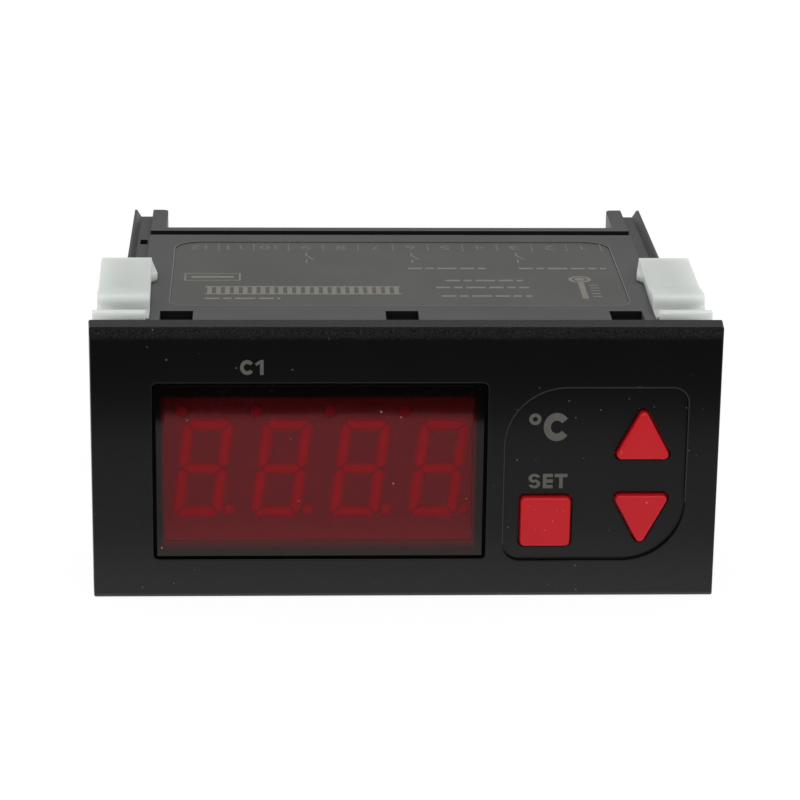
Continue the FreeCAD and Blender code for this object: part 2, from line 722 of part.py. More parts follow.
def make_clamp(x):
    """The cage that grips one wire, pierced for its screw."""
    half = WIRE_W / 2 - FIT_GAP
    front, back = screw_y - CLAMP_L / 2, screw_y + CLAMP_L / 2
    high = wire_high - FIT_GAP
    cage = box(x - half, x + half, front, back, wire_low, high)
    window = box(x - half + CLAMP_WALL_T, x + half - CLAMP_WALL_T, front - BEYOND, back + BEYOND,
                 wire_low + CLAMP_WALL_T, high - CLAMP_TOP_T)
    hole = rod(SCREW_SHANK_D + 2 * FIT_GAP, (x, screw_y, high - CLAMP_TOP_T - BEYOND),
               (x, screw_y, high + BEYOND))
    return cage.cut([window, hole])


def make_screw(x):
    """One terminal screw, with a slotted head."""
    head_low = wire_high + SCREW_HEAD_LIFT
    head_top = head_low + SCREW_HEAD_H
    tip = wire_high - FIT_GAP - CLAMP_TOP_T - SCREW_SHANK_REACH
    head = rod(SCREW_HEAD_D, (x, screw_y, head_low), (x, screw_y, head_top))
    shank = rod(SCREW_SHANK_D, (x, screw_y, tip), (x, screw_y, head_low))
    slot = box(x - SCREW_HEAD_D, x + SCREW_HEAD_D, screw_y - SCREW_SLOT_W / 2, screw_y + SCREW_SLOT_W / 2,
               head_top - SCREW_SLOT_DEPTH, head_top + BEYOND)
    return head.fuse(shank).removeSplitter().cut(slot)


def rack():
    """A strip of ratchet teeth along the right side wall."""
    count = int((HOUSING_L - RACK_START) / RACK_PITCH)
    root = side_out - SIDE_WALL_T / 2
    teeth = []
    for i in range(count):
        low = RACK_START + i * RACK_PITCH
        high = low + RACK_PITCH / 2
        points = [(root, low), (side_out, low), (side_out + RACK_TOOTH_H, high), (root, high)]
        teeth.append(prism(points, 0, "xy", -RACK_H / 2, RACK_H))
    return teeth


def make_housing():
    """The rear moulding: box, rails, ears, label recess, snap windows and board grooves."""
    body = box(-housing_half, housing_half, -SEAT_DEPTH, HOUSING_L, -top_z, top_z)
    ear = box(ear_in, housing_half, HOUSING_L - REAR_WALL_T, housing_end, -top_z, top_z)
    ear = soften(ear, EAR_END_R, lambda edge: lies_at(edge, "x", ear_in) and lies_at(edge, "y", housing_end))
    body = joined([body, both_sides(ear, (1, 0, 0))])
    recess_z = rail_floor - RAIL_FLOOR_T
    side_room = box(side_out, housing_half + BEYOND, COLLAR_L, housing_end + BEYOND, -recess_z, recess_z)
    channel = prism([(side_out, rail_floor), (housing_half - LIP_BASE_T, rail_floor),
                     (housing_half - LIP_TOP_T, top_z), (side_out, top_z)],
                    0, "xz", COLLAR_L, housing_end - COLLAR_L)
    sides = both_sides(side_room.fuse(both_sides(channel, (0, 0, 1))), (1, 0, 0))
    hollow = box(-side_in, side_in, -SEAT_DEPTH - BEYOND, rear_wall_front, -inner_top, inner_top)
    mouth_x, mouth_z = housing_half - COLLAR_WALL_T, top_z - COLLAR_WALL_T
    mouth = box(-mouth_x, mouth_x, -SEAT_DEPTH - BEYOND, COLLAR_L - COLLAR_BACK_T, -mouth_z, mouth_z)
    window_half = block_half + REAR_WINDOW_GAP
    rear_window = box(-window_half, window_half, rear_wall_front - BEYOND, HOUSING_L + BEYOND,
                      MAIN_BOARD_TOP_Z - REAR_WINDOW_GAP, block_top + REAR_WINDOW_GAP)
    slot = box(-side_out, side_out, slot_front, rear_wall_front, inner_top, top_z + BEYOND)
    label_back = slot_front - LABEL_REAR_GAP
    label = prism(rectangle(0, label_back - LABEL_L / 2, LABEL_W, LABEL_L),
                  [LABEL_FRONT_R, LABEL_FRONT_R, LABEL_REAR_R, LABEL_REAR_R],
                  "xy", top_z - LABEL_DEPTH, BEYOND)
    windows = [box(x - SNAP_W / 2, x + SNAP_W / 2, SNAP_BACK - SNAP_L, SNAP_BACK, z - WALL_T, z + WALL_T)
               for x in snap_xs for z in (-top_z, top_z)]
    hole_x = side_out + (RAIL_W - LIP_BASE_T) / 2
    hole_front = slot_front - RAIL_HOLE_LEAD
    rail_hole = box(-hole_x - RAIL_HOLE_W / 2, -hole_x + RAIL_HOLE_W / 2,
                    hole_front, hole_front + RAIL_HOLE_L, recess_z - BEYOND, top_z)
    body = body.cut([sides, hollow, mouth, rear_window, slot, label, rail_hole] + windows)
    groove_in = board_half - GROOVE_RIB_W
    gap = FIT_GAP + GROOVE_RIB_T
    ribs = [box(groove_in, side_in, main_board_front, rear_wall_front, z, z + GROOVE_RIB_T)
            for z in (MAIN_BOARD_TOP_Z + FIT_GAP, MAIN_BOARD_TOP_Z - BOARD_T - gap)]
    inner = both_sides(ribs[0].fuse(ribs[1]), (1, 0, 0))
    block_room = box(-window_half, window_half, block_front - FIT_GAP, HOUSING_L,
                     MAIN_BOARD_TOP_Z - REAR_WINDOW_GAP, block_top)
    teeth = rack()
    outer = both_sides(teeth[0].fuse(teeth[1:]), (1, 0, 0))
    return joined([body, inner.cut(block_room), outer])


clip_low = top_z + RUN_GAP
clip_top = clip_low + CLIP_ARM_T
clip_in = side_out - CLIP_OVERHANG
clip_wall_in = housing_half + CLIP_SIDE_GAP
clip_out = clip_wall_in + CLIP_WALL_T
bar_back = CLIP_STANDOFF + CLIP_BAR_T
slider_front = bar_back + CLIP_NECK_L
slider_back = slider_front + CLIP_SLIDER_L


def clip_arm():
    """The clip's upper arm: neck, hump and flat, spreading outwards to the rear."""
    neck = clip_low + CLIP_NECK_T
    crest = clip_top + CLIP_HUMP_H
    side_points = [(slider_back, clip_low), (slider_back, clip_top), (slider_front + CLIP_HUMP_L, clip_top),
                   (slider_front + CLIP_HUMP_TOP_L, crest), (slider_front, crest), (slider_front, neck),
                   (bar_back, neck), (bar_back, clip_low)]
    side_radii = [0, CLIP_EDGE_R, CLIP_BLEND_R, CLIP_HUMP_TOP_L / 2, CLIP_HUMP_R, CLIP_NECK_R, 0, 0]
    side_view = prism(side_points, side_radii, "yz", clip_in, clip_out + CLIP_SPLAY - clip_in)
    plan_points = [(clip_in, bar_back), (clip_out, bar_back), (clip_out, slider_front),
                   (clip_out + CLIP_SPLAY, slider_back), (clip_in + CLIP_SPLAY, slider_back),
                   (clip_in, slider_front)]
    plan = prism(plan_points, [0, 0, 0, CLIP_REAR_R, CLIP_EDGE_R, 0], "xy", clip_low, crest - clip_low)
    return side_view.common(plan)


def clip_nib():
    """The barb on the arm's inner edge, which rises from the rear and ends in a steep face."""
    ramp_back = slider_back - CLIP_EDGE_R
    tip = ramp_back - CLIP_NIB_RAMP_L
    end = tip - CLIP_NIB_END_L
    edge_back, edge_tip, edge_end = [clip_in + CLIP_SPLAY * (y - slider_front) / CLIP_SLIDER_L
                                     for y in (ramp_back, tip, end)]
    points = [(edge_back, ramp_back), (edge_tip - CLIP_NIB_OUT, tip), (edge_end, end),
              (edge_tip + CLIP_NIB_OUT, tip)]
    return prism(points, 0, "xy", clip_low, CLIP_NIB_T)


def make_clip():
    """The right fixing clip, which rides on the rails and pushes its bar against the panel."""
    bar_in, bar_out = clip_in + CLIP_BAR_SHIFT, clip_out + CLIP_BAR_SHIFT
    bar = prism([(CLIP_STANDOFF, clip_low), (bar_back, clip_low),
                 (bar_back, clip_top), (CLIP_STANDOFF, clip_top)],
                [0, 0, CLIP_EDGE_R, CLIP_EDGE_R], "yz", bar_in, bar_out - bar_in)
    neck_rib = box(clip_wall_in, clip_out, bar_back, slider_front, clip_low - CLIP_NECK_RIB_H,
                   clip_low + CLIP_NECK_T)
    hook_x0 = side_out + CLIP_HOOK_GAP
    hook_x1 = housing_half - LIP_BASE_T - CLIP_HOOK_GAP
    hook = box(hook_x0, hook_x1, slider_front + CLIP_HOOK_SETBACK, slider_back,
               rail_floor + CLIP_HOOK_GAP, clip_low)
    upper = clip_arm().fuse([bar, neck_rib, hook, clip_nib()])
    wall_plan = [(clip_wall_in, slider_front), (clip_out, slider_front), (clip_out + CLIP_SPLAY, slider_back),
                 (clip_wall_in, slider_back)]
    wall = prism(wall_plan, [0, 0, CLIP_REAR_R, 0], "xy", -clip_low, 2 * clip_low)
    bar_side = box(clip_wall_in, bar_out, CLIP_STANDOFF, bar_back, -clip_low, clip_low)
    tongue_back = slider_back - CLIP_TONGUE_SETBACK
    tongue_front = tongue_back - CLIP_TONGUE_L
    half = CLIP_PAWL_W / 2
    slot_x0, slot_x1 = clip_wall_in - BEYOND, clip_out + CLIP_SPLAY + BEYOND
    slots = [box(slot_x0, slot_x1, tongue_front, tongue_back, z, z + CLIP_TONGUE_SLOT)
             for z in (half, -half - CLIP_TONGUE_SLOT)]
    slots.append(box(slot_x0, slot_x1, tongue_front - CLIP_TONGUE_SLOT, tongue_front,
                     -half - CLIP_TONGUE_SLOT, half + CLIP_TONGUE_SLOT))
    tip = side_out + RACK_TOOTH_H + RUN_GAP
    pawl = prism([(clip_wall_in, tongue_front), (clip_wall_in, tongue_front + CLIP_PAWL_L),
                  (tip, tongue_front + CLIP_PAWL_L / 2), (tip, tongue_front)], 0, "xy", -half, CLIP_PAWL_W)
    grip_low = half + CLIP_TONGUE_SLOT + CLIP_GRIP_T
    grip_out = clip_out + CLIP_SPLAY + CLIP_GRIP_OUT
    grips = []
    for i in range(CLIP_GRIP_COUNT):
        back = slider_back - CLIP_GRIP_SETBACK - i * CLIP_GRIP_PITCH
        grip = box(clip_out, grip_out, back - CLIP_GRIP_T, back, grip_low, grip_low + CLIP_GRIP_H / 2)
        grips.append(both_sides(grip, (0, 0, 1)))
    wall = wall.cut(slots)
    return joined([both_sides(upper, (0, 0, 1)), wall, bar_side, pawl] + grips)


def make_all():
    """Every piece of the controller, by the name of its node."""
    right_clip = make_clip()
    pieces = {
        "front_bezel": make_bezel(),
        "display_window": make_lens(),
        "housing": make_housing(),
        "right_clip": right_clip,
        "left_clip": right_clip.mirror(FreeCAD.Vector(0, 0, 0), FreeCAD.Vector(1, 0, 0)),
        "led_display": make_led_display(),
        "digit_segments": Part.makeCompound([inlay(points) for points in segment_outlines()]),
        "decimal_points": Part.makeCompound([inlay(points) for points in point_outlines()]),
        "indicator_lights": Part.makeCompound(indicator_lights(LIGHT_D)),
        "display_pins": Part.makeCompound(led_pins(BOARD_T + LED_PIN_OUT)),
        "display_board": make_display_board(),
        "microcontroller": make_controller(),
        "board_header": make_header(),
        "header_pins": Part.makeCompound(header_pins()),
        "main_board": make_main_board(),
        "transformer": upright_block(transformer_x, parts_back, TRANSFORMER_W, TRANSFORMER_L,
                                     room_h - TRANSFORMER_HEADROOM, TRANSFORMER_CORNER_R),
        "relay": upright_block(relay_x, parts_back, RELAY_W, RELAY_L,
                               room_h - RELAY_HEADROOM, RELAY_CORNER_R),
        "smoothing_capacitor": make_smoothing_capacitor(),
        "film_capacitor": upright_block(film_x, parts_back, FILM_W, FILM_L, FILM_H, RELAY_CORNER_R),
        "varistor": make_varistor(),
        "rectifier_diodes": make_diodes(),
        "voltage_regulator": make_regulator(),
        "terminal_block": make_terminal_block(),
        "terminal_clamps": Part.makeCompound([make_clamp(x) for x in way_xs]),
        "terminal_screws": Part.makeCompound([make_screw(x) for x in way_xs]),
    }
    for name, (points, stem) in KEYS.items():
        pieces[name + "_key"] = make_key(points, stem)
        pieces[name + "_switch"] = make_switch(stem)
        pieces[name + "_plunger"] = make_plunger(stem)
    return pieces


os.makedirs("parts", exist_ok=True)
for node, shape in make_all().items():
    shape.exportStep("parts/" + node + ".step")
    bounds = shape.BoundBox
    corners = [bounds.XMin, bounds.XMax, bounds.YMin, bounds.YMax, bounds.ZMin, bounds.ZMax]
    print(node, "valid", shape.isValid(), "solids", len(shape.Solids), "volume", round(shape.Volume, 2),
          "bounds", [round(value, 2) for value in corners])
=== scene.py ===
"""Looks of a panel-mount temperature controller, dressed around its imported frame."""

import logging
import math
from dataclasses import dataclass
from enum import Enum
from typing import Any, Callable, ClassVar, Mapping, Optional, Sequence, Union

import bmesh
import bpy
from bmesh.types import BMesh, BMVert
from bpy.types import Material, Node, NodeSocket, NodeTree, Object, World
from mathutils import Matrix, Vector


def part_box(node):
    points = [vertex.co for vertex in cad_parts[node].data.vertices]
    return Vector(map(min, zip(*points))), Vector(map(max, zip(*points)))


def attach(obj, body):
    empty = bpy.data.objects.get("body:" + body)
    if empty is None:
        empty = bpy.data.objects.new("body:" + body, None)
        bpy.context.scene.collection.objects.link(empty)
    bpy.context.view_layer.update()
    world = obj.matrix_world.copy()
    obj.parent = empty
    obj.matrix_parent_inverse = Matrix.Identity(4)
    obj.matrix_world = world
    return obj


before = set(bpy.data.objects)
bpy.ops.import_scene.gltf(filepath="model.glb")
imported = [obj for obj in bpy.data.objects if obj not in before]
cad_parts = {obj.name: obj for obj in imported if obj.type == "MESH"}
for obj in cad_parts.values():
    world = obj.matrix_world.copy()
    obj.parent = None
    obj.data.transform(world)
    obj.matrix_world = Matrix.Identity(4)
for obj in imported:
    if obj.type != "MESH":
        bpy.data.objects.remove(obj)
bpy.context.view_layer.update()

Pair = tuple[float, float]
Triple = tuple[float, float, float]
Colour = Triple
Outline = list[Pair]
Letter = tuple[str, float, float]
Operand = Union["Signal", float, int]
Key = Union[str, int]

MM = 0.001
NOISE_MEAN = 0.5
EVEN: Triple = (1.0, 1.0, 1.0)
WHITE = (1.0, 1.0, 1.0, 1.0)
log = logging.getLogger("controller")


def scaled(colour: Colour, factor: float) -> Colour:
    """A colour made lighter or darker."""
    return (Vector(colour) * factor).to_tuple()


def mixed(first: Colour, second: Colour, share: float) -> Colour:
    """A colour part of the way from one to another."""
    return Vector(first).lerp(Vector(second), share).to_tuple()


class Detail(Enum):
    """How many finer layers a noise has."""

    PLAIN = 1.0
    SOFT = 2.0
    FINE = 3.0


def math_node(operation: str, reflected: bool = False) -> Callable[["Signal", Operand], "Signal"]:
    """Makes a method that puts a Math node on a signal and another operand.

    Args:
        operation: The node's operation.
        reflected: Whether the other operand comes first.

    Returns:
        The method.
    """
    def method(signal: "Signal", other: Operand) -> "Signal":
        """The result of the operation."""
        first, second = (other, signal) if reflected else (signal, other)
        return signal.paint.signal("ShaderNodeMath", {"operation": operation}, {0: first, 1: second})
    return method


class Signal:
    """A shader socket that takes part in Python sums by adding Math nodes.

    Above gives 1 where the value is above a level and 0 elsewhere, and larger the larger of two.
    """

    __add__ = math_node("ADD")
    __radd__ = math_node("ADD", reflected=True)
    __sub__ = math_node("SUBTRACT")
    __rsub__ = math_node("SUBTRACT", reflected=True)
    __mul__ = math_node("MULTIPLY")
    __rmul__ = math_node("MULTIPLY", reflected=True)
    __truediv__ = math_node("DIVIDE")
    __rtruediv__ = math_node("DIVIDE", reflected=True)
    above = math_node("GREATER_THAN")
    larger = math_node("MAXIMUM")
    remainder = math_node("FLOORED_MODULO")

    def __init__(self, paint: "Paint", socket: NodeSocket) -> None:
        """Keeps the socket and the paint that it belongs to."""
        self.paint = paint
        self.socket = socket

    def wrapped(self, period: float) -> "Signal":
        """This value's remainder within a period, from 0 to 1."""
        return self.remainder(period) / period

    def swing(self, span: float) -> "Signal":
        """This noise as a swing about 0, over a span."""
        return span * (self - NOISE_MEAN)

    def step(self, low: Operand, high: Operand) -> "Signal":
        """A smooth rise from 0 at low to 1 at high."""
        return self.paint.signal("ShaderNodeMapRange", {"interpolation_type": "SMOOTHSTEP"},
                                 {"Value": self, "From Min": low, "From Max": high})


class Paint:
    """A material under construction: its node tree and the few nodes that finishes share."""

    cell_weights = ((37, 53, 71), (61, 29, 43))
    mark_core = 0.5
    edge_samples = 4

    def __init__(self, tree: NodeTree) -> None:
        """Starts from an empty tree."""
        self.tree = tree
        self.tree.nodes.clear()

    def node(self, kind: str, settings: Optional[Mapping[str, Any]] = None,
             inputs: Optional[Mapping[Key, Any]] = None) -> Node:
        """Adds any node.

        Args:
            kind: The node's type.
            settings: Its own settings, set first.
            inputs: Values or links of its sockets, by name or number.

        Returns:
            The new node.
        """
        made = self.tree.nodes.new(kind)
        for name, setting in (settings or {}).items():
            setattr(made, name, setting)
        for key, given in (inputs or {}).items():
            if isinstance(given, Signal):
                self.tree.links.new(given.socket, made.inputs[key])
            else:
                made.inputs[key].default_value = given
        return made

    def signal(self, kind: str, settings: Optional[Mapping[str, Any]] = None,
               inputs: Optional[Mapping[Key, Any]] = None, output: Key = 0) -> Signal:
        """Adds a node and gives one of its outputs as a signal."""
        return Signal(self, self.node(kind, settings, inputs).outputs[output])

    def place(self, stretch: Triple = EVEN) -> Signal:
        """Object coordinates, in metres, stretched along the axes."""
        here = self.signal("ShaderNodeTexCoord", output="Object")
        return self.signal("ShaderNodeMapping", None, {"Vector": here, "Scale": stretch})

    def along(self, axis: str) -> Signal:
        """One of the object coordinates x, y and z, in millimetres."""
        here = self.signal("ShaderNodeTexCoord", output="Object")
        return self.signal("ShaderNodeSeparateXYZ", None, {0: here}, axis.upper()) / MM

    def noise(self, size: float, detail: Detail = Detail.SOFT, stretch: Triple = EVEN) -> Signal:
        """Smooth noise from 0 to 1, with lumps of a size in millimetres."""
        return self.signal("ShaderNodeTexNoise", None, {
            "Vector": self.place(stretch), "Scale": 1 / (size * MM), "Detail": detail.value})

    def specks(self, cell: float, radius: float, share: float, stretch: Triple = EVEN) -> Signal:
        """Scattered round marks.

        Args:
            cell: Mean distance between possible marks in millimetres.
            radius: The largest mark's radius in millimetres.
            share: The share of cells that hold a mark.
            stretch: Scale of the coordinates along each axis.

        Returns:
            1 in a mark and 0 elsewhere.
        """
        cells = self.node("ShaderNodeTexVoronoi", None,
                          {"Vector": self.place(stretch), "Scale": 1 / (cell * MM)})
        parts = self.node("ShaderNodeSeparateColor", None, {0: Signal(self, cells.outputs["Color"])})
        red, green, blue = (Signal(self, part) for part in parts.outputs)
        chance, size = ((r * red + g * green + b * blue).wrapped(1.0) for r, g, b in self.cell_weights)
        reach = size * (radius / cell)
        inside = 1 - Signal(self, cells.outputs["Distance"]).step(self.mark_core * reach, reach)
        return inside * chance.above(1 - share)

    def dust(self, motes: Triple, fibres: Triple, scale: float) -> Signal:
        """Round motes and upright fibres, both as specks; a smaller scale gives longer fibres."""
        return self.specks(*motes).larger(self.specks(*fibres, (1.0, 1.0, scale)))

    def blend(self, factor: Operand, first: Union[Signal, Colour],
              second: Union[Signal, Colour]) -> Signal:
        """A mix of two colours, from the first at 0 to the second at 1."""
        first, second = (given if isinstance(given, Signal) else (*given, 1.0) for given in (first, second))
        return self.signal("ShaderNodeMix", {"data_type": "RGBA"}, {0: factor, 6: first, 7: second}, 2)

    def mottled(self, factor: Operand, colour: Colour, spread: float) -> Signal:
        """A colour that runs from darker at 0 to lighter at 1, by the same share."""
        return self.blend(factor, scaled(colour, 1 - spread), scaled(colour, 1 + spread))

    def relief(self, height: Signal, depth: float, edge: float = 0.0) -> Signal:
        """A bumped normal.

        Args:
            height: The relief, from 0 to 1.
            depth: Its depth in millimetres.
            edge: Radius to which sharp edges look rounded, in millimetres.

        Returns:
            The normal.
        """
        inputs: dict[Key, Any] = {"Height": height, "Distance": depth * MM, "Strength": 1.0}
        if edge > 0:
            inputs["Normal"] = self.signal("ShaderNodeBevel", {"samples": self.edge_samples},
                                           {"Radius": edge * MM})
        return self.signal("ShaderNodeBump", None, inputs)

    def shader(self, kind: str, inputs: Mapping[Key, Any]) -> Signal:
        """Adds a shader node."""
        return self.signal(kind, None, inputs)

    def glow(self, strength: Operand) -> Signal:
        """Adds a shader of white light."""
        return self.shader("ShaderNodeEmission", {"Color": WHITE, "Strength": strength})

    def finish(self, surface: Signal, output: str = "ShaderNodeOutputMaterial") -> None:
        """Ends the tree with a surface."""
        self.node(output, None, {"Surface": surface})

    def principled(self, inputs: Mapping[Key, Any]) -> None:
        """Ends the tree with a Principled surface."""
        self.finish(self.shader("ShaderNodeBsdfPrincipled", inputs))


def new_material(name: str) -> tuple[Material, Paint]:
    """Starts a material.

    Args:
        name: Its name.

    Returns:
        The material and the paint that fills it.
    """
    material = bpy.data.materials.new(name)
    material.use_nodes = True
    return material, Paint(material.node_tree)


def new_piece(name: str, bm: BMesh, material: Material) -> Object:
    """Makes an object at the origin.

    Args:
        name: Its name.
        bm: Its shape, in place and in metres, which is freed.
        material: Its material.

    Returns:
        The object, linked to the scene.
    """
    mesh = bpy.data.meshes.new(name)
    bm.to_mesh(mesh)
    bm.free()
    mesh.materials.append(material)
    piece = bpy.data.objects.new(name, mesh)
    bpy.context.scene.collection.objects.link(piece)
    log.info("added %s with %d faces", name, len(mesh.polygons))
    return piece


@dataclass(frozen=True)
class Finish:
    """What every finish has: a name and a way to become a material."""

    name: str
    made: ClassVar[dict[str, Material]] = {}

    def material(self) -> Material:
        """Makes the finish's material, once.

        Returns:
            The material.
        """
        if self.name not in self.made:
            material, paint = new_material("looks_" + self.name)
            self.paint(paint)
            self.made[self.name] = material
        return self.made[self.name]

    def paint(self, paint: Paint) -> None:
        """Fills the material's tree."""
        raise NotImplementedError


@dataclass(frozen=True)
class Moulded(Finish):
    """Moulded plastic with a fine grain, faint clouds of tone and a few specks of dust.

    A milky plastic lets light spread in it, by its depth in millimetres.
    """

    colour: Colour = (0.02, 0.02, 0.02)
    roughness: float = 0.45
    shine: float = 0.5
    grain: float = 0.22
    grain_depth: float = 0.012
    grain_gloss: float = 0.12
    cloud: float = 0.12
    cloud_size: float = 9.0
    cloud_gloss: float = 0.16
    coat: float = 0.0
    coat_roughness: float = 0.17
    coat_swing: float = 0.8
    dust: float = 0.0
    dust_gap: float = 1.2
    dust_colour: Colour = (0.32, 0.31, 0.29)
    dust_cover: float = 0.5
    dust_gloss: float = 0.3
    mote_radius: float = 0.13
    fibre_gap: float = 3.4
    fibre_radius: float = 0.08
    fibre_share: float = 0.3
    fibre_scale: float = 0.3
    milk: float = 0.0
    milk_depth: float = 2.0
    edge: float = 0.1

    def paint(self, paint: Paint) -> None:
        """Puts grain in the relief, clouds in the colour and roughness, and dust over both.

        Args:
            paint: The material to fill.
        """
        grain = paint.noise(self.grain, Detail.FINE)
        cloud = paint.noise(self.cloud_size)
        colour = self._rubbed(paint, paint.mottled(cloud, self.colour, self.cloud))
        roughness = self.roughness + cloud.swing(self.cloud_gloss) + grain.swing(self.grain_gloss)
        if self.dust > 0:
            motes = (self.dust_gap, self.mote_radius, self.dust)
            fibres = (self.fibre_gap, self.fibre_radius, self.fibre_share * self.dust)
            dust = paint.dust(motes, fibres, self.fibre_scale)
            colour = paint.blend(self.dust_cover * dust, colour, self.dust_colour)
            roughness = roughness + self.dust_gloss * dust
        paint.principled({
            "Base Color": colour, "Roughness": roughness, "Specular IOR Level": self.shine,
            "Coat Weight": self.coat * (1 + grain.swing(self.coat_swing)) if self.coat > 0 else 0.0,
            "Coat Roughness": self.coat_roughness, "Subsurface Weight": self.milk,
            "Subsurface Radius": EVEN, "Subsurface Scale": self.milk_depth * MM,
            "Normal": paint.relief(grain, self.grain_depth, self.edge)})

    def _rubbed(self, paint: Paint, colour: Signal) -> Signal:
        """The colour as it is, for a moulding with no painted light along its edges."""
        return colour


@dataclass(frozen=True)
class FaceMoulding(Moulded):
    """Moulded plastic with a painted highlight, broken into specks, along its upper edge and a paler painted
    reflection along its lower one.
    """

    # Painted highlight: a lighter band, broken into specks, under the upper edge where its facet catches
    # light.
    frost_above: float = 15.7
    frost_h: float = 0.8
    frost_grain: float = 0.13
    frost_break: Pair = (0.35, 0.8)
    frost_colour: Colour = (0.032, 0.032, 0.032)
    # Painted reflection: an even paler band along the lower edge, where its rounding mirrors the white
    # table.
    foot_below: float = -16.95
    foot_h: float = 0.5
    foot_colour: Colour = (0.06, 0.06, 0.06)

    def _rubbed(self, paint: Paint, colour: Signal) -> Signal:
        """Puts a painted highlight, broken into specks, above one height and an even painted reflection
        below another.

        Args:
            paint: The material to fill.
            colour: The moulding's own colour.

        Returns:
            The colour with the painted highlight and the painted reflection.
        """
        height = paint.along("z")
        # The band holds the painted highlight and the foot holds the painted reflection.
        band = height.step(self.frost_above, self.frost_above + self.frost_h)
        highlight = band * paint.noise(self.frost_grain, Detail.PLAIN).step(*self.frost_break)
        foot = 1 - height.step(self.foot_below - self.foot_h, self.foot_below)
        return paint.blend(foot, paint.blend(highlight, colour, self.frost_colour), self.foot_colour)


@dataclass(frozen=True)
class TintedWindow(Finish):
    """A polished window of tinted plastic, with a little haze and dust.

    Motes and fibres are given by their cell, their largest radius and the share of cells with one.
    """

    tint: Colour = (0.014, 0.003, 0.003)
    tint_spread: float = 0.2
    cover: float = 0.08
    roughness: float = 0.02
    shine: float = 0.0
    wipe_size: float = 6.0
    wipe_stretch: Triple = (0.3, 1.0, 1.0)
    wipe_gloss: float = 0.01
    motes: Triple = (2.2, 0.2, 0.6)
    fibres: Triple = (4.0, 0.12, 0.8)
    fibre_scale: float = 0.2
    dust_colour: Colour = (0.75, 0.5, 0.48)
    dust_cover: float = 0.3
    dust_gloss: float = 0.4

    def paint(self, paint: Paint) -> None:
        """Makes a part-covering surface whose gloss carries faint wipe marks.

        Args:
            paint: The material to fill.
        """
        wipes = paint.noise(self.wipe_size, Detail.FINE, self.wipe_stretch)
        dust = paint.dust(self.motes, self.fibres, self.fibre_scale)
        tint = paint.mottled(wipes, self.tint, self.tint_spread)
        paint.principled({
            "Base Color": paint.blend(dust, tint, self.dust_colour),
            "Roughness": self.roughness + self.wipe_gloss * wipes + self.dust_gloss * dust,
            "Specular IOR Level": self.shine, "Alpha": self.cover + self.dust_cover * dust})


@dataclass(frozen=True)
class Diffuser(Finish):
    """Smooth resin or lacquer under a skin that reflects in its own colour."""

    colour: Colour = (0.2, 0.02, 0.02)
    skin: Colour = (1.0, 0.2, 0.215)
    shine: float = 0.68
    index: float = 2.2
    roughness: float = 0.06
    gloss_swing: float = 0.6
    patch_size: float = 4.0
    patch_spread: float = 0.12

    def paint(self, paint: Paint) -> None:
        """Makes soft patches of deeper colour and a faintly uneven gloss.

        Args:
            paint: The material to fill.
        """
        patches = paint.noise(self.patch_size)
        colour = self._bleed(paint, paint.mottled(patches, self.colour, self.patch_spread))
        paint.principled({
            "Base Color": colour, "Roughness": self.roughness * (1 + patches.swing(self.gloss_swing)),
            "IOR": self.index, "Specular IOR Level": self.shine, "Specular Tint": (*self.skin, 1.0)})

    def _bleed(self, paint: Paint, colour: Signal) -> Signal:
        """The colour as it is, for a finish with no painted reflection of a neighbour's colour."""
        return colour


@dataclass(frozen=True)
class BorderLacquer(Diffuser):
    """Border lacquer with a painted reflection of its neighbour's colour at its inner edge, darkened by
    painted shade near the top.
    """

    low: Sequence[float] = (-10.0, -10.0)
    high: Sequence[float] = (10.0, 10.0)
    # The block's red, painted at the opening as a reflection.
    through: Colour = (0.075, 0.001, 0.0015)
    fade_side: float = 0.65
    fade_low: float = 1.6
    fade_high: float = 0.12
    # Painted shade that darkens that reflection towards the window's top edge.
    shade_start: float = 3.3
    shade_end: float = 1.1
    shade: float = 0.8

    def _bleed(self, paint: Paint, colour: Signal) -> Signal:
        """Paints a reflection of the neighbour's colour at the opening, fading out over a short way, and
        darkens it with painted shade near the top.

        Args:
            paint: The material to fill.
            colour: The lacquer's own colour.

        Returns:
            The colour with the painted reflection in it.
        """
        across, height = (paint.along(axis) for axis in "xz")
        beyond_side = (self.low[0] - across).larger(across - self.high[0]) / self.fade_side
        below = (self.low[1] - height) / self.fade_low
        above = (height - self.high[1]) / self.fade_high
        shown = 1 - beyond_side.larger(below.larger(above)).step(0.0, 1.0)
        shaded = height.step(self.high[1] - self.shade_start, self.high[1] - self.shade_end)
        return paint.blend(shown * (1 - self.shade * shaded), colour, self.through)


@dataclass(frozen=True)
class Ink(Finish):
    """Screen-printed ink, slightly uneven where the mesh left it thin."""

    colour: Colour = (0.17, 0.16, 0.14)
    roughness: float = 0.6
    gloss_swing: float = 0.2
    mesh_size: float = 0.12
    mesh_depth: float = 0.004
    mesh_share: float = 0.5
    wear_size: float = 1.2
    wear_spread: float = 0.28

    def paint(self, paint: Paint) -> None:
        """Makes a fine unevenness in tone and gloss.

        Args:
            paint: The material to fill.
        """
        mesh = paint.noise(self.mesh_size)
        wear = paint.noise(self.wear_size, Detail.FINE)
        thin = self.mesh_share * mesh + (1 - self.mesh_share) * wear
        paint.principled({
            "Base Color": paint.mottled(thin, self.colour, self.wear_spread),
            "Roughness": self.roughness + mesh.swing(self.gloss_swing),
            "Normal": paint.relief(mesh, self.mesh_depth)})


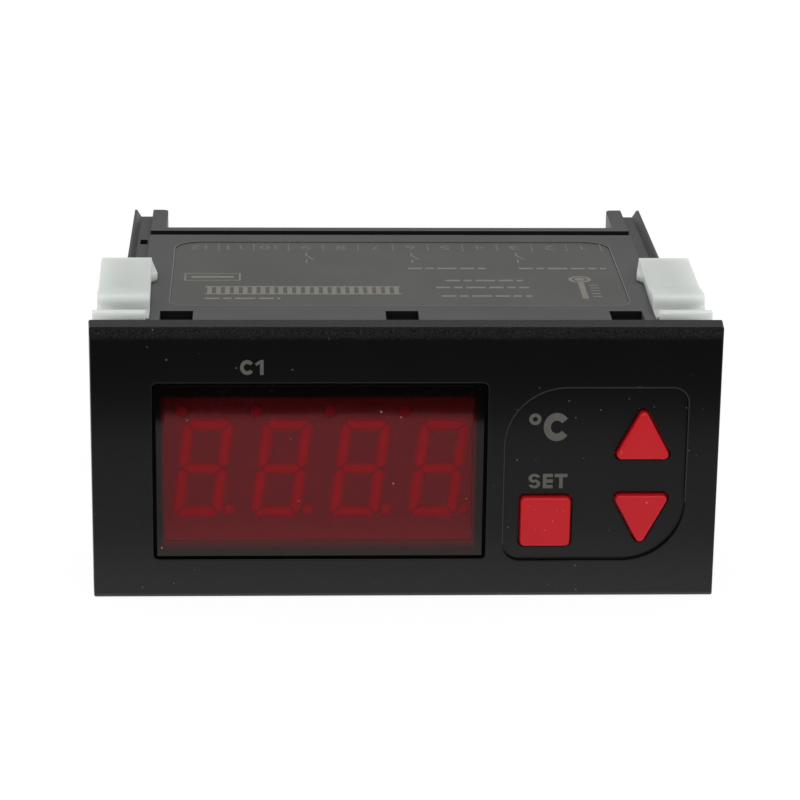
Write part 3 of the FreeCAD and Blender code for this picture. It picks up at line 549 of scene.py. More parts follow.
@dataclass(frozen=True)
class Plated(Finish):
    """Plated or drawn metal with fine lines along one axis and dull patches."""

    colour: Colour = (0.6, 0.6, 0.58)
    roughness: float = 0.32
    line_size: float = 0.08
    line_stretch: Triple = (1.0, 0.06, 1.0)
    line_depth: float = 0.004
    line_gloss: float = 0.15
    patch_size: float = 1.6
    patch_gloss: float = 0.25
    dulled: float = 0.25
    edge: float = 0.06

    def paint(self, paint: Paint) -> None:
        """Puts drawn lines in the relief and the gloss, and patches in the colour.

        Args:
            paint: The material to fill.
        """
        lines = paint.noise(self.line_size, Detail.SOFT, self.line_stretch)
        patches = paint.noise(self.patch_size, Detail.FINE)
        paint.principled({
            "Base Color": paint.blend(patches, scaled(self.colour, 1 - self.dulled), self.colour),
            "Metallic": 1.0,
            "Roughness": self.roughness + patches.swing(self.patch_gloss) + lines.swing(self.line_gloss),
            "Normal": paint.relief(lines, self.line_depth, self.edge)})


@dataclass(frozen=True)
class Banded(Finish):
    """A coated part with bands of a second colour along one axis."""

    colour: Colour = (0.05, 0.05, 0.05)
    band: Colour = (0.2, 0.2, 0.2)
    axis: str = "z"
    period: float = 1.0
    start: float = 0.0
    share: float = 0.4
    softness: float = 0.03
    roughness: float = 0.4
    mottle_size: float = 1.5
    mottle_spread: float = 0.2
    mottle_gloss: float = 0.25
    depth: float = 0.02
    edge: float = 0.12

    def paint(self, paint: Paint) -> None:
        """Lays bands with soft edges over a mottled coat.

        Args:
            paint: The material to fill.
        """
        across = (paint.along(self.axis) - self.start).wrapped(self.period)
        bands = 1 - across.step(self.share - self.softness, self.share + self.softness)
        mottle = paint.noise(self.mottle_size, Detail.FINE)
        coat = paint.mottled(mottle, self.colour, self.mottle_spread)
        paint.principled({
            "Base Color": paint.blend(bands, coat, self.band),
            "Roughness": self.roughness + mottle.swing(self.mottle_gloss),
            "Normal": paint.relief(mottle + bands, self.depth, self.edge)})


@dataclass(frozen=True)
class SolderMask(Finish):
    """A circuit board: lacquer over copper tracks."""

    colour: Colour = (0.015, 0.1, 0.04)
    track: Colour = (0.03, 0.2, 0.07)
    tin: Colour = (0.55, 0.55, 0.52)
    roughness: float = 0.35
    pitch: float = 2.6
    track_edge: Pair = (0.08, 0.12)
    track_gloss: float = 0.05
    pad_radius: float = 0.8
    pad_share: float = 0.35
    weave_size: float = 0.3
    weave_spread: float = 0.15
    depth: float = 0.03

    def paint(self, paint: Paint) -> None:
        """Makes tracks as raised lines of a paler green, with bare spots of tin.

        Args:
            paint: The material to fill.
        """
        cells = paint.signal("ShaderNodeTexVoronoi", {"feature": "DISTANCE_TO_EDGE"},
                             {"Vector": paint.place(), "Scale": 1 / (self.pitch * MM)}, "Distance")
        tracks = 1 - cells.step(*self.track_edge)
        pads = paint.specks(self.pitch, self.pad_radius, self.pad_share)
        weave = paint.noise(self.weave_size, Detail.PLAIN)
        lacquer = paint.mottled(weave, self.colour, self.weave_spread)
        paint.principled({
            "Base Color": paint.blend(pads, paint.blend(tracks, lacquer, self.track), self.tin),
            "Roughness": self.roughness - self.track_gloss * tracks, "Metallic": pads,
            "Normal": paint.relief(tracks.larger(pads), self.depth)})


class Facing(Enum):
    """How a print lies: its own x, y and outward directions in the part's frame."""

    FRONT = ((1, 0, 0), (0, 0, 1), (0, -1, 0))
    TOP_FROM_REAR = ((-1, 0, 0), (0, -1, 0), (0, 0, 1))

    def lay(self, place: Vector) -> Matrix:
        """The matrix that lays a flat print at a place, given in metres."""
        turn = Matrix([Vector(axis) for axis in self.value]).transposed().to_4x4()
        return Matrix.Translation(place) @ turn


class Print:
    """Ink on a surface: flat slabs of lettering, bars and rings in one mesh, sized in millimetres."""

    quarters = {(1, 1): 0.0, (-1, 1): 90.0, (-1, -1): 180.0, (1, -1): 270.0}
    arc_step = 9.0
    least_steps = 6
    mouth_of_c = 72.0
    hook_of_s = (18.0, 252.0)
    flag_drop = 0.45
    flag_share = 0.8
    flag_turn = 35.0
    figure_advance = 0.78
    figure_w = 0.62
    one_w = 0.38
    one_stroke = 0.16
    type_weight = 0.02
    type_depth = 0.5
    type_steps = 4
    type_weld = 1e-5

    def __init__(self, facing: Facing, thickness: float = 0.03) -> None:
        """Starts an empty print.

        Args:
            facing: How it lies.
            thickness: How far it stands off its surface.
        """
        self.facing = facing
        self.right, self.up, _ = (Vector(axis) for axis in facing.value)
        self.thickness = thickness
        self.bm = bmesh.new()

    def _add(self, piece: BMesh, place: Vector) -> None:
        """Lays a flat piece.

        Args:
            piece: The piece, made about the origin, which is freed.
            place: Where it lies.
        """
        lay = self.facing.lay(place * MM) @ Matrix.Scale(MM, 4)
        bmesh.ops.transform(piece, matrix=lay, verts=piece.verts)
        mesh = bpy.data.meshes.new("laid")
        piece.to_mesh(mesh)
        piece.free()
        self.bm.from_mesh(mesh)
        bpy.data.meshes.remove(mesh)

    def spread(self, place: Vector, count: int, pitch: float) -> list[Vector]:
        """Places in a row about its middle, from the print's left to its right."""
        return [place + self.right * (i - (count - 1) / 2) * pitch for i in range(count)]

    def bar(self, place: Vector, width: float, height: float, turn: float = 0.0) -> None:
        """Adds a filled rectangle.

        Args:
            place: Its middle.
            width: Its width.
            height: Its height.
            turn: How far it is turned, in degrees.
        """
        piece = bmesh.new()
        sides = Vector((width, height, self.thickness, 1.0))
        bmesh.ops.create_cube(piece, size=1.0, matrix=Matrix.Rotation(math.radians(turn), 4, "Z")
                              @ Matrix.Translation((0, 0, self.thickness / 2)) @ Matrix.Diagonal(sides))
        self._add(piece, place)

    def polygon(self, corners: Outline, place: Vector) -> None:
        """Adds a filled outline.

        Args:
            corners: The outline's corners about its place.
            place: Where it lies.
        """
        piece = bmesh.new()
        base = piece.faces.new([piece.verts.new((x, y, 0.0)) for x, y in corners])
        raised = bmesh.ops.extrude_face_region(piece, geom=[base], use_keep_orig=True)["geom"]
        bmesh.ops.translate(piece, vec=(0, 0, self.thickness),
                            verts=[item for item in raised if isinstance(item, BMVert)])
        bmesh.ops.recalc_face_normals(piece, faces=piece.faces)
        self._add(piece, place)

    def frame(self, place: Vector, width: float, height: float, stroke: float) -> None:
        """Adds a rectangle's outline.

        Args:
            place: Its middle.
            width: Its outer width.
            height: Its outer height.
            stroke: How wide the line is.
        """
        for side in (-1, 1):
            self.bar(place + self.up * side * (height - stroke) / 2, width, stroke)
            self.bar(place + self.right * side * (width - stroke) / 2, stroke, height - 2 * stroke)

    def rim(self, place: Vector, size: Pair, corners: tuple[float, float, float, float], stroke: float,
            feet: bool = False) -> None:
        """Adds a line along the top and sides of a rounded rectangle.

        Args:
            place: The rectangle's middle.
            size: Its width and height, to the middle of the line.
            corners: Its radii at the top right, top left, lower left and lower right.
            stroke: How wide the line is.
            feet: Whether the line runs on round the lower corners.
        """
        half_w, half_h = (side / 2 for side in size)
        top_right, top_left, low_left, low_right = corners
        self.bar(place + self.right * (top_left - top_right) / 2 + self.up * half_h,
                 size[0] - top_left - top_right, stroke)
        for side, upper, lower in ((-1, top_left, low_left), (1, top_right, low_right)):
            edge = place + self.right * side * half_w
            self.bar(edge + self.up * (lower - upper) / 2, stroke, size[1] - upper - lower)
            for end, radius in ((1, upper), (-1, lower))[:2 if feet else 1]:
                middle = edge - self.right * side * radius + self.up * end * (half_h - radius)
                across = 2 * radius + stroke
                self.arc(middle, across, across, stroke, self.quarters[side, end], 90.0)

    def arc(self, place: Vector, width: float, height: float, stroke: float,
            start: float = 0.0, sweep: float = 360.0) -> None:
        """Adds a stroke along an ellipse.

        Args:
            place: The ellipse's middle.
            width: Its outer width.
            height: Its outer height.
            stroke: How wide the stroke is at the sides.
            start: Where it starts, in degrees from the right.
            sweep: How far it runs round, in degrees.
        """
        piece = bmesh.new()
        inner, outer = width / 2 - stroke, width / 2
        corners = [(inner, 0), (outer, 0), (outer, self.thickness), (inner, self.thickness)]
        section = piece.faces.new([piece.verts.new((r, 0, h)) for r, h in corners])
        bmesh.ops.rotate(piece, matrix=Matrix.Rotation(math.radians(start), 3, "Z"), verts=piece.verts)
        whole = sweep >= 360
        geom: list[Any] = [*section.verts, *section.edges]
        if whole:
            piece.faces.remove(section)
        else:
            geom.append(section)
        bmesh.ops.spin(piece, geom=geom, cent=(0, 0, 0), axis=(0, 0, 1), angle=math.radians(sweep),
                       steps=max(self.least_steps, round(sweep / self.arc_step)), use_merge=whole)
        bmesh.ops.scale(piece, vec=(1, height / width, 1), verts=piece.verts)
        bmesh.ops.recalc_face_normals(piece, faces=piece.faces)
        self._add(piece, place)

    def letter(self, character: str, place: Vector, width: float, height: float, stroke: float) -> None:
        """Adds one letter or figure drawn from bars and arcs.

        Args:
            character: C, S, E, T or 1.
            place: Its middle.
            width: Its width.
            height: Its height.
            stroke: The width of its strokes.
        """
        side = self.right * (width - stroke) / 2
        level = self.up * (height - stroke) / 2
        if character == "C":
            self.arc(place, width, height, stroke, self.mouth_of_c / 2, 360 - self.mouth_of_c)
        elif character == "S":
            loop = (height + stroke) / 2
            start, sweep = self.hook_of_s
            self.arc(place + self.up * (height - loop) / 2, width, loop, stroke, start, sweep)
            self.arc(place - self.up * (height - loop) / 2, width, loop, stroke, start + 180, sweep)
        elif character == "E":
            self.bar(place - side, stroke, height)
            for rise in (1, 0, -1):
                self.bar(place + self.right * stroke / 2 + level * rise, width - stroke, stroke)
        elif character == "T":
            self.bar(place + level, width, stroke)
            self.bar(place - self.up * stroke / 2, stroke, height - stroke)
        elif character == "1":
            self.bar(place + side, stroke, height)
            tip = place + level - self.up * self.flag_drop * stroke - self.right * stroke / 2
            self.bar(tip, math.hypot(width - stroke, stroke), self.flag_share * stroke, self.flag_turn)

    def figures(self, number: int, place: Vector, height: float) -> None:
        """Adds a number in small figures.

        Args:
            number: The number.
            place: Its middle.
            height: Its height.
        """
        digits = str(number)
        for digit, spot in zip(digits, self.spread(place, len(digits), self.figure_advance * height)):
            if digit == "1":
                self.letter(digit, spot, self.one_w * height, height, self.one_stroke * height)
            else:
                self._typed(digit, spot, self.figure_w * height, height)

    def _typed(self, figure: str, place: Vector, width: float, height: float) -> None:
        """Adds one figure of the built-in type.

        Args:
            figure: The figure.
            place: Its middle.
            width: Its width.
            height: Its height.
        """
        curve = bpy.data.curves.new("figure", "FONT")
        curve.body = figure
        curve.offset = self.type_weight
        curve.extrude = self.type_depth
        curve.resolution_u = self.type_steps
        holder = bpy.data.objects.new("figure", curve)
        bpy.context.scene.collection.objects.link(holder)
        graph = bpy.context.evaluated_depsgraph_get()
        mesh = bpy.data.meshes.new_from_object(holder.evaluated_get(graph))
        bpy.data.objects.remove(holder)
        bpy.data.curves.remove(curve)
        piece = bmesh.new()
        piece.from_mesh(mesh)
        bpy.data.meshes.remove(mesh)
        bmesh.ops.remove_doubles(piece, verts=piece.verts, dist=self.type_weld)
        low, high = (Vector([pick(vert.co[i] for vert in piece.verts) for i in range(3)])
                     for pick in (min, max))
        middle, size = (low + high) / 2, high - low
        shift = Matrix.Translation((-middle.x, -middle.y, -low.z))
        fit = Matrix.Diagonal((width / size.x, height / size.y, self.thickness / size.z, 1.0))
        bmesh.ops.transform(piece, matrix=fit @ shift, verts=piece.verts)
        self._add(piece, place)


class Assembly:
    """A sub-assembly: it dresses its frame nodes and adds the pieces that only show."""

    def dress(self, finish: Finish, *nodes: str) -> None:
        """Gives frame nodes a finish.

        Args:
            finish: The finish.
            nodes: The names of the nodes.
        """
        for node in nodes:
            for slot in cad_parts[node].material_slots:
                slot.material = finish.material()
            log.info("dressed %s in %s", node, finish.name)

    def add(self, name: str, bm: BMesh, finish: Finish,
            slot: Optional[str] = None) -> Object:
        """Adds a new piece.

        Args:
            name: The piece's name.
            bm: Its shape, in place and in metres.
            finish: Its finish.
            slot: Not used.

        Returns:
            The new object.
        """
        piece = new_piece(name, bm, finish.material())
        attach(piece, "body")
        return piece


@dataclass
class FrontBezel(Assembly):
    """The front moulding with its printed words.

    A word's letters are given with their offsets from its middle and their widths.
    """

    finish: Finish = FaceMoulding("bezel_black", colour=(0.0015, 0.0015, 0.0015), shine=0.14, coat=0.46,
                                  grain_depth=0.014, dust=0.5, edge=0.2)
    # The keypad rim's lighter colour is a painted highlight.
    rim: Finish = Moulded("keypad_rim_highlight", roughness=0.4, dust=0.2)
    ink: Finish = Ink("face_ink", colour=(0.097, 0.093, 0.08))
    keypad_depth: float = 0.6
    keypad_place: Pair = (23.35, -1.52)
    keypad_size: Pair = (22.55, 22.65)
    keypad_corners: tuple[float, float, float, float] = (2.0, 7.6, 2.2, 7.8)
    rim_w: float = 0.14
    rim_t: float = 0.015
    channel_letters: Sequence[Letter] = (("C", -0.55, 1.72), ("1", 0.98, 0.92))
    channel_place: Pair = (-18.9, 12.43)
    channel_h: float = 1.9
    degree_place: Pair = (15.82, 5.55)
    degree_size: float = 1.5
    unit_place: Pair = (18.5, 4.54)
    unit_size: Pair = (3.25, 3.66)
    unit_stroke: float = 0.88
    set_letters: Sequence[Letter] = (("S", -1.63, 1.48), ("E", 0.04, 1.24), ("T", 1.66, 1.58))
    set_place: Pair = (17.54, -2.51)
    set_h: float = 1.9
    small_stroke: float = 0.44

    def build(self) -> None:
        """Dresses the moulding, lays a painted highlight along the keypad's rim, and prints on its face and
        keypad.
        """
        self.dress(self.finish, "front_bezel")
        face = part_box("front_bezel")[0].y / MM
        keypad = face + self.keypad_depth
        # Painted highlight: a lighter line along the top and sides of the keypad's recess.
        rim = Print(Facing.FRONT, self.rim_t)
        rim.rim(self._at(self.keypad_place, face), self.keypad_size, self.keypad_corners, self.rim_w)
        self.add("keypad_rim_highlight", rim.bm, self.rim)
        self._word("channel_print", self.channel_letters, self._at(self.channel_place, face), self.channel_h)
        self._word("set_print", self.set_letters, self._at(self.set_place, keypad), self.set_h)
        unit = Print(Facing.FRONT)
        unit.arc(self._at(self.degree_place, keypad), self.degree_size, self.degree_size, self.small_stroke)
        unit.letter("C", self._at(self.unit_place, keypad), *self.unit_size, self.unit_stroke)
        self.add("unit_print", unit.bm, self.ink)

    def _word(self, name: str, letters: Sequence[Letter], place: Vector, height: float) -> None:
        """Prints a word.

        Args:
            name: The piece's name.
            letters: Its letters.
            place: Its middle.
            height: Its height.
        """
        word = Print(Facing.FRONT)
        for character, offset, width in letters:
            word.letter(character, place + word.right * offset, width, height, self.small_stroke)
        self.add(name, word.bm, self.ink)

    @staticmethod
    def _at(place: Pair, level: float) -> Vector:
        """A place on the face, from its x and z and the face's y."""
        return Vector((place[0], level, place[1]))


@dataclass
class Display(Assembly):
    """The tinted window and the LED display behind it."""

    window: Finish = TintedWindow("tinted_window")
    face: Diffuser = Diffuser("led_face", colour=(0.05, 0.002, 0.003))
    segment: Diffuser = Diffuser("led_segment", colour=(0.27, 0.003, 0.008), shine=0.44)
    point: Finish = Diffuser("led_point", colour=(0.225, 0.006, 0.014), shine=0.56)
    light: Finish = Diffuser("led_light", colour=(0.12, 0.001, 0.004), shine=0.46)
    digit_count: int = 4
    digit_size: Pair = (5.95, 12.5)
    digit_margins: Pair = (1.7, 1.18)
    digit_lean: float = 7.4
    stroke: float = 1.15
    stroke_gap: float = 0.22
    least_cut: float = 0.01
    corner_share: float = 0.65
    waist_share: float = 1 / 3
    point_size: float = 0.9
    point_out: float = 0.95
    point_rise: float = 0.84
    point_layers: tuple[int, ...] = (1, 2, 3, 4)
    glow_layers: int = 6
    glow_reach: float = 0.36
    glow_step: float = 0.12
    glow_lift: float = 0.01
    border_colour: Colour = (0.0015, 0.0012, 0.0012)
    border_skin: Colour = (0.75, 0.67, 0.64)
    border_shine: float = 0.56
    border_index: float = 1.6
    border_inset: float = 0.1
    border_depth: float = 0.05
    border_lap: float = 0.08
    border_top_lap: float = 0.42
    eye_rise: float = 0.33
    # A near-black matte frame in the gap round the window: painted shade.
    gasket: Finish = Moulded("window_gap_shade", colour=(0.001, 0.001, 0.001), roughness=0.8, shine=0.05)
    gap: float = 0.34
    gasket_depth: float = 0.25

    def build(self) -> None:
        """Dresses the window, the block and its inlays, borders the window and puts painted shade in the gap
        round it.
        """
        self.dress(self.window, "display_window")
        self.dress(self.face, "led_display")
        self.dress(self.segment, "digit_segments")
        self.dress(self.point, "decimal_points")
        self.dress(self.light, "indicator_lights")
        for layer in range(self.glow_layers):
            self._glow(layer)
        low, high = (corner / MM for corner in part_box("display_window"))
        self._border(low, high)
        # Painted shade: a near-black frame filling the gap between the window and the bezel.
        gasket = Print(Facing.FRONT)
        middle = (low + high) / 2
        gasket.frame(Vector((middle.x, low.y + self.gasket_depth, middle.z)),
                     high.x - low.x + 2 * self.gap, high.z - low.z + 2 * self.gap, self.gap)
        self.add("window_gap_shade", gasket.bm, self.gasket)

    def _glow(self, layer: int) -> None:
        """Adds one layer of the digits' soft light, narrower and brighter than the one below it.

        Args:
            layer: The layer's number, from 0.
        """
        low, high = (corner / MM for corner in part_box("led_display"))
        row = sum(corner.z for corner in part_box("digit_segments")) / (2 * MM)
        start = low.x + self.digit_margins[0] + self.digit_size[0] / 2
        end = high.x - self.digit_margins[1] - self.digit_size[0] / 2
        grow = self.glow_reach - self.glow_step * layer
        outlines = self._strokes(grow)
        if layer in self.point_layers:
            outlines.append(self._point(grow))
        lean = math.tan(math.radians(self.digit_lean))
        glow = Print(Facing.FRONT, self.glow_lift * (layer + 1))
        pitch = (end - start) / (self.digit_count - 1)
        for place in glow.spread(Vector(((start + end) / 2, low.y, row)), self.digit_count, pitch):
            for outline in outlines:
                glow.polygon([(x + lean * z, z) for x, z in outline], place)
        share = (layer + 1) / self.glow_layers
        finish = Diffuser(f"led_glow_{layer + 1}", mixed(self.face.colour, self.segment.colour, share),
                          shine=self.face.shine + share * (self.segment.shine - self.face.shine))
        self.add(f"digit_glow_{layer + 1}", glow.bm, finish, slot="led_segment")

    def _strokes(self, grow: float) -> list[Outline]:
        """Draws the seven strokes of an upright digit.

        Args:
            grow: How far each stroke is grown on every side.

        Returns:
            The corners of each stroke about the digit's middle.
        """
        right, top = (side / 2 + grow for side in self.digit_size)
        stroke = self.stroke + 2 * grow
        cut = max(self.stroke_gap / 2 - grow, self.least_cut)
        inner = right - stroke
        corner = self.corner_share * stroke
        end = right - corner / 2 - cut
        flat = min(right - corner, end)
        level = [(-flat, top), (flat, top), (end, top - corner / 2), (inner - cut, top - stroke),
                 (cut - inner, top - stroke), (-end, top - corner / 2)]
        upright = [(right, top - max(corner, corner / 2 + cut)), (right, cut + self.waist_share * stroke),
                   (right - stroke / 2, cut), (inner, cut + stroke / 2), (inner, top - stroke - cut),
                   (right - corner / 2, top - corner / 2 - cut)]
        middle = [(cut - right + stroke / 2, 0.0), (cut - inner, stroke / 2), (inner - cut, stroke / 2),
                  (right - stroke / 2 - cut, 0.0), (inner - cut, -stroke / 2), (cut - inner, -stroke / 2)]
        strokes = [middle]
        for up in (-1, 1):
            strokes.append([(x, up * z) for x, z in level])
            strokes += [[(side * x, up * z) for x, z in upright] for side in (-1, 1)]
        return strokes

    def _point(self, grow: float) -> Outline:
        """Draws a digit's decimal point.

        Args:
            grow: How far it is grown on every side.

        Returns:
            Its corners about the digit's middle.
        """
        half = self.point_size / 2 + grow
        x = self.digit_size[0] / 2 + self.point_out
        z = self.point_rise - self.digit_size[1] / 2
        return [(x + side * half, z + up * half) for side, up in ((-1, -1), (1, -1), (1, 1), (-1, 1))]

    def _border(self, low: Vector, high: Vector) -> None:
        """Adds the window's border, whose opening shows the block as it is seen from a little above.

        Args:
            low: The window's lower corner.
            high: Its upper corner.
        """
        inner_low, inner_high = (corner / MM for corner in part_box("led_display"))
        level = low.y + self.border_depth
        rise = Vector((0, 0, self.eye_rise * (inner_low.y - level)))
        inner_low = inner_low + rise + Vector((self.border_lap, 0, self.border_lap))
        inner_high = inner_high + rise - Vector((self.border_lap, 0, self.border_top_lap))
        inset = Vector((self.border_inset, 0, self.border_inset))
        low, high = low + inset, high - inset
        border = Print(Facing.FRONT)
        for start, end in ((low.z, inner_low.z), (inner_high.z, high.z)):
            border.bar(Vector(((low.x + high.x) / 2, level, (start + end) / 2)), high.x - low.x, end - start)
        for start, end in ((low.x, inner_low.x), (inner_high.x, high.x)):
            border.bar(Vector(((start + end) / 2, level, (inner_low.z + inner_high.z) / 2)), end - start,
                       inner_high.z - inner_low.z)
        # The border's inner edge carries a painted reflection of the block's red, darker near the top with
        # painted shade.
        lacquer = BorderLacquer("window_border", self.border_colour, self.border_skin, self.border_shine,
                                self.border_index, low=inner_low.xz, high=inner_high.xz)
        piece = self.add("window_border", border.bm, lacquer)
        piece.visible_glossy = False


@dataclass
class Keys(Assembly):
    """The three keys and the switches that they work."""

    finish: Finish = Moulded("key_red", colour=(0.54, 0.006, 0.013), roughness=0.4, shine=0.2, grain=0.3,
                             grain_depth=0.006, cloud=0.06, coat=0.22, dust=0.5, dust_gap=0.7,
                             dust_colour=(0.75, 0.4, 0.4), edge=0.05)
    plunger: Finish = Moulded("plunger_black", roughness=0.5)
    switch: Finish = Moulded("switch_grey", colour=(0.04, 0.04, 0.043), roughness=0.55)

    def build(self) -> None:
        """Dresses the keys, plungers and switches."""
        for name in ("up", "down", "set"):
            self.dress(self.finish, name + "_key")
            self.dress(self.plunger, name + "_plunger")
            self.dress(self.switch, name + "_switch")


@dataclass
class Housing(Assembly):
    """The rear moulding, with near-black sheets of painted shade in its openings."""

    finish: Finish = Moulded("housing_black", colour=(0.064, 0.065, 0.065), roughness=0.5, grain=0.25,
                             grain_depth=0.016, dust=0.06, edge=0.15)
    shade: Finish = Moulded("window_shade", colour=(0.011, 0.011, 0.011), roughness=0.8, shine=0.05)
    snap_count: int = 3
    snap_pitch: float = 28.45
    snap_size: Pair = (4.1, 1.55)
    snap_back: float = 14.4
    slot_size: Pair = (66.2, 1.6)
    slot_back: float = 52.5
    hole_size: Pair = (1.0, 2.3)
    hole_out: float = 33.95
    hole_back: float = 51.4
    rail_depth: float = 1.0
    rail_t: float = 1.2

    def build(self) -> None:
        """Dresses the moulding and puts painted shade in each snap window, the rear slot and the left rail's
        hole.
        """
        self.dress(self.finish, "housing")
        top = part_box("housing")[1].z / MM
        # Near-black sheets on the openings' far walls and under the rail's hole: painted shade.
        shades = Print(Facing.FRONT)
        snaps = Vector((0, self.snap_back, top - self.snap_size[1] / 2))
        for place in shades.spread(snaps, self.snap_count, self.snap_pitch):
            shades.bar(place, *self.snap_size)
        shades.bar(Vector((0, self.slot_back, top - self.slot_size[1] / 2)), *self.slot_size)
        foot = Vector((-self.hole_out, self.hole_back, top - self.rail_depth - self.rail_t))
        shades.bar(foot + shades.up * self.rail_t / 2, self.hole_size[0], self.rail_t)
        self.add("snap_shades", shades.bm, self.shade)
        hole_shade = Print(Facing.TOP_FROM_REAR)
        hole_shade.bar(foot + hole_shade.up * self.hole_size[1] / 2, *self.hole_size)
        self.add("rail_hole_shade", hole_shade.bm, self.shade)


@dataclass
class Label(Assembly):
    """The label in the housing's top: a film, a painted highlight along its edges, terminal numbers and
    plain print.

    A line of small print is given by its x, y and width, and a bar of the sign of an open contact by
    its place about the sign's middle, its width, its height and its turn in degrees.
    """

    film: Finish = Moulded("label_film", colour=(0.074, 0.075, 0.071), roughness=0.42, grain=0.5,
                           grain_depth=0.004, cloud=0.15, dust=0.1)
    # A lighter grey on the film's bevels and along the recess's outline: painted highlight.
    cut_edge: Finish = Moulded("label_bevel_highlight", colour=(0.15, 0.15, 0.143), roughness=0.5)
    ink: Finish = Ink("label_ink", colour=(0.165, 0.158, 0.128))
    row_ink: Finish = Ink("label_row_ink", colour=(0.11, 0.11, 0.1))
    size: Pair = (59.0, 30.2)
    back: float = 46.9
    depth: float = 0.35
    gap: float = 0.06
    film_t: float = 0.25
    film_bevel: float = 0.12
    bevel_segments: int = 2
    flat_normal: float = 0.95
    corner_front: float = 2.0
    corner_rear: float = 3.3
    corner_segments: int = 10
    edge_w: float = 0.16
    ink_t: float = 0.02
    ways: int = 12
    way_pitch: float = 4.72
    row_y: float = 44.2
    tick: Pair = (0.22, 3.6)
    figure_h: float = 2.2
    ladder_place: Pair = (-12.4, 23.85)
    ladder_size: Pair = (25.3, 3.7)
    ladder_rail: float = 0.45
    ladder_bars: int = 22
    ladder_share: float = 0.55
    field_place: Pair = (-24.2, 30.0)
    field_size: Pair = (7.4, 3.4)
    field_stroke: float = 0.25
    field_bar: Pair = (5.6, 0.9)
    lines: Sequence[Triple] = ((-20.2, 20.2, 9.7), (11.3, 21.3, 11.7), (11.0, 25.2, 12.2),
                               (11.4, 28.4, 10.1), (7.0, 34.1, 10.8), (22.2, 34.1, 11.7))
    line_h: float = 0.7
    dashes: Triple = (1.9, 1.1, 2.6)
    dash_gap: float = 0.45
    gauge_place: Pair = (24.0, 25.0)
    bulb_y: float = 4.0
    bulb_rings: Sequence[Pair] = ((3.0, 0.5), (1.4, 0.69))
    stem_y: float = -1.2
    stem_size: Pair = (0.8, 7.4)
    mark_count: int = 5
    mark_start: Pair = (1.6, -3.9)
    mark_pitch: float = 1.3
    mark_size: Pair = (1.2, 0.35)
    contact_ways: tuple[int, ...] = (2, 5, 8)
    contact_y: float = 39.6
    contact_bars: Sequence[tuple[float, ...]] = (
        (0.0, 1.2, 0.2, 1.6, 0.0), (0.0, -2.0, 0.2, 1.6, 0.0), (0.55, -0.4, 0.2, 2.1, 24.0))

    def build(self) -> None:
        """Lays the film in its recess, gives its bevels and outline a painted highlight, and prints on it.
        """
        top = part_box("housing")[1].z / MM
        level = top - self.depth + self.film_t
        film = self.add("label_film", self._film(level), self.film)
        film.data.materials.append(self.cut_edge.material())
        # The film's bevels and cut sides take the painted highlight.
        for face in film.data.polygons:
            face.material_index = 0 if face.normal.z > self.flat_normal else 1
        # A lighter line along the recess's outline: painted highlight.
        edge = Print(Facing.TOP_FROM_REAR, self.ink_t)
        radii = (self.corner_front, self.corner_front, self.corner_rear, self.corner_rear)
        edge.rim(Vector((0, self.back - self.size[1] / 2, top)), self.size, radii, self.edge_w, feet=True)
        self.add("label_outline_highlight", edge.bm, self.cut_edge)
        row = Print(Facing.TOP_FROM_REAR, self.ink_t)
        for way, place in enumerate(row.spread(Vector((0, self.row_y, level)), self.ways, self.way_pitch)):
            row.figures(way + 1, place, self.figure_h)
            row.bar(place - row.right * self.way_pitch / 2, *self.tick)
        self.add("label_row", row.bm, self.row_ink)
        self.add("label_print", self._small_print(level).bm, self.ink)

    def _film(self, level: float) -> BMesh:
        """Makes the label's film.

        Args:
            level: The height of its upper face.

        Returns:
            Its shape, in metres.
        """
        bm = bmesh.new()
        width, length = (side - 2 * self.gap for side in self.size)
        middle = Vector((0, self.back - self.size[1] / 2, level - self.film_t / 2))
        bmesh.ops.create_cube(bm, size=1.0, matrix=Matrix.Translation(middle)
                              @ Matrix.Diagonal((width, length, self.film_t, 1.0)))
        for rear, radius in ((True, self.corner_rear), (False, self.corner_front)):
            upright = [edge for edge in bm.edges
                       if abs(edge.verts[0].co.z - edge.verts[1].co.z) > self.film_t / 2
                       and (edge.verts[0].co.y > middle.y) == rear
                       and abs(abs(edge.verts[0].co.x) - width / 2) < self.gap]
            bmesh.ops.bevel(bm, geom=upright, offset=radius - self.gap, affect="EDGES",
                            segments=self.corner_segments, profile=0.5, material=-1)
        rim = [edge for edge in bm.edges if all(vert.co.z > middle.z for vert in edge.verts)]
        bmesh.ops.bevel(bm, geom=rim, offset=self.film_bevel, affect="EDGES",
                        segments=self.bevel_segments, profile=0.5, material=-1)
        bmesh.ops.scale(bm, vec=(MM, MM, MM), verts=bm.verts)
        return bm

    def _small_print(self, level: float) -> Print:
        """Prints plain fields, lines and signs in place of small print.

        Args:
            level: The height of the film's upper face.

        Returns:
            The print.
        """
        label = Print(Facing.TOP_FROM_REAR, self.ink_t)
        self._ladder(label, Vector((*self.ladder_place, level)))
        box = Vector((*self.field_place, level))
        label.frame(box, *self.field_size, self.field_stroke)
        label.bar(box, *self.field_bar)
        for x, y, width in self.lines:
            self._line(label, Vector((x, y, level)), width)
        self._gauge(label, Vector((*self.gauge_place, level)))
        places = label.spread(Vector((0, self.contact_y, level)), self.ways, self.way_pitch)
        for way in self.contact_ways:
            for x, y, width, height, turn in self.contact_bars:
                label.bar(places[way] + Vector((x, y, 0)), width, height, turn)
        return label

